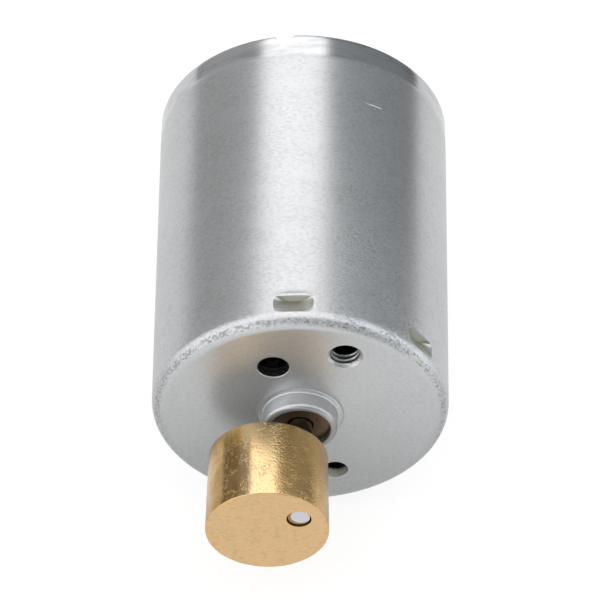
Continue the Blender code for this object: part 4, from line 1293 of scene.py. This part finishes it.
def tag_points(pole):
    """Rings between the outline and the hole, on one face, through the hole, and back on the other face."""
    out, aside = pole_frame(pole)
    outline = tag_outline(10)
    toward = np.arctan2(outline[:, 1], outline[:, 0])
    hole = np.column_stack([np.cos(toward), np.sin(toward)]) * TAG_HOLE
    inset = outline - TAG_EDGE * np.sign(outline) * (np.abs(outline) > TAG_EDGE)
    half = TAG_THICKNESS / 2
    edge = half - TAG_EDGE
    shares = np.linspace(0.0, 1.0, TAG_RINGS)[:, None, None]
    face = inset[None] * (1.0 - shares) + hole[None] * (1.0 + TAG_EDGE / TAG_HOLE * (shares == 1.0)) * shares
    flat = np.concatenate([outline[None], face, hole[None], hole[None], face[::-1], outline[None]])
    upper = np.full(TAG_RINGS, half)
    depth = np.concatenate([[edge], upper, [edge, -edge], -upper, [-edge]])
    middle = out * (TAG_INNER + half) + aside * (TAG_NEAR + TAG_WIDTH / 2)
    points = middle + flat[..., :1] * aside + depth[:, None, None] * out
    points[..., 1] = TAG_REAR - TAG_HOLE_BACK + flat[..., 1]
    return points


tin_finish = tin_plate()
for pole in POLES:
    tag = grid_object(f"solder_tag_{pole}", tag_points(pole))
    dress(tag, f"terminal_{pole}", "housing", tin_finish)

# %% [markdown]
# The coils hide in the can, and a glint of copper is all that the vents could show. Each one is wire
# wound round a pole of the core, so its grid is a rounded bundle carried round a long loop, with
# ridges along it for the turns of wire at its surface.

# %% Coils
NECK_HALF = 1.42
NECK_ROUND = 0.1
COIL_HALF_WIDTH = 3.89
COIL_ROUND = 0.8
COIL_IN = 3.05
COIL_OUT = 5.77
COIL_HEAD = 2.0
COIL_SQUARE = 5
ROTOR_CLOCK = 210.7
WIRE_RIDGES = 22
WIRE_RIDGE = 0.06


def enamelled_copper():
    """Varnished wire: warm copper under a clear coat."""
    copper = Finish("enamelled_copper", (0.5, 0.17, 0.06), 1.0, 0.3)
    copper.feed("Coat Weight", 0.5)
    copper.feed("Coat Roughness", 0.15)
    copper.vary(copper.noise(1.2, 3.0), (0.52, 0.19, 0.07), (0.4, 0.12, 0.04), 0.24, 0.38)
    return copper.material


def coil_points(front, rear, angle):
    """Bundle carried round a loop: a squarish section between the inner and outer loops, with wire ridges."""
    half_length = (rear - front) / 2
    inner = rounded_loop(NECK_HALF, half_length - COIL_HEAD, NECK_ROUND, 7)
    outer = rounded_loop(COIL_HALF_WIDTH, half_length, COIL_ROUND, 7)
    turn = even_angles(176)[:, None, None]
    ridge = 1.0 - WIRE_RIDGE * (0.5 + 0.5 * np.cos(WIRE_RIDGES * turn))
    square = (np.abs(np.cos(turn)) ** COIL_SQUARE + np.abs(np.sin(turn)) ** COIL_SQUARE) ** (-1 / COIL_SQUARE)
    share = 0.5 + 0.5 * ridge * square * np.cos(turn)
    height = 0.5 + 0.5 * ridge * square * np.sin(turn)
    flat = inner[None] * (1.0 - share) + outer[None] * share
    way = np.radians(angle)
    out = np.array([np.cos(way), 0.0, np.sin(way)])
    aside = np.array([-np.sin(way), 0.0, np.cos(way)])
    points = out * (COIL_IN + (COIL_OUT - COIL_IN) * height) + aside * flat[..., :1]
    points[..., 1] = (front + rear) / 2 + flat[..., 1]
    return points


copper_finish = enamelled_copper()
for index in range(3):
    low, high = node_box(f"winding_{index + 1}")
    coil = grid_object(f"coil_{index + 1}", coil_points(low[1], high[1], ROTOR_CLOCK + 120.0 * index))
    dress(coil, f"winding_{index + 1}", "rotor", copper_finish)

# %% [markdown]
# The rest of the inside keeps its CAD shape, which is right as it is. Each piece gets the finish of
# its own material: a colour that varies a little, a gloss that varies with it, and a grain of the
# right size and direction.

# %% Finishes of the pieces inside
GRAIN_DEPTH = 0.006
DARKER = 0.8


def plain_finish(name, color, metallic, gloss, per_mm, stretch=(1.0, 1.0, 1.0)):
    """Finish from one noise: colour from four fifths to full, roughness around gloss, and a fine grain."""
    plain = Finish(name, color, metallic, gloss)
    grain = plain.noise(per_mm, 4.0, stretch)
    plain.vary(grain, tuple(DARKER * channel for channel in color), color, gloss - 0.06, gloss + 0.08)
    plain.roughen(grain, GRAIN_DEPTH)
    return plain.material


# Colour, metal, roughness, lumps in a millimetre, and the grain's stretch where it has a direction
INSIDE = {
    "ferrite": ((0.07, 0.07, 0.075), 0.0, 0.55, 5.0),
    "spring_steel": ((0.42, 0.42, 0.43), 1.0, 0.3, 8.0, (1.0, 0.1, 1.0)),
    "spring_bronze": ((0.62, 0.4, 0.2), 1.0, 0.3, 8.0, (0.15, 1.0, 0.15)),
    "carbon": ((0.045, 0.043, 0.042), 0.0, 0.5, 9.0),
    "laminations": ((0.3, 0.3, 0.32), 1.0, 0.4, 2.8, (0.05, 1.0, 0.05)),
    "insulating_fibre": ((0.62, 0.6, 0.52), 0.0, 0.6, 4.0),
    "moulded_sleeve": ((0.2, 0.12, 0.07), 0.0, 0.45, 5.0),
    "commutator_copper": ((0.72, 0.4, 0.25), 1.0, 0.3, 7.0, (0.1, 1.0, 0.1)),
    "clamping_fibre": ((0.55, 0.5, 0.38), 0.0, 0.6, 5.0),
    "spacer_nylon": ((0.1, 0.1, 0.11), 0.0, 0.45, 5.0),
    "white_nylon": ((0.8, 0.79, 0.74), 0.0, 0.4, 4.0),
}
inside_finishes = {name: plain_finish(name, *values) for name, values in INSIDE.items()}
kept = 0
for part in frame["record"]["subparts"]:
    if part["material_slot"] in inside_finishes:
        kept_node = frame["nodes"][part["node"]]
        kept_node.data.materials.clear()
        kept_node.data.materials.append(inside_finishes[part["material_slot"]])
        kept += 1
print("CAD nodes that keep their shape:", kept)
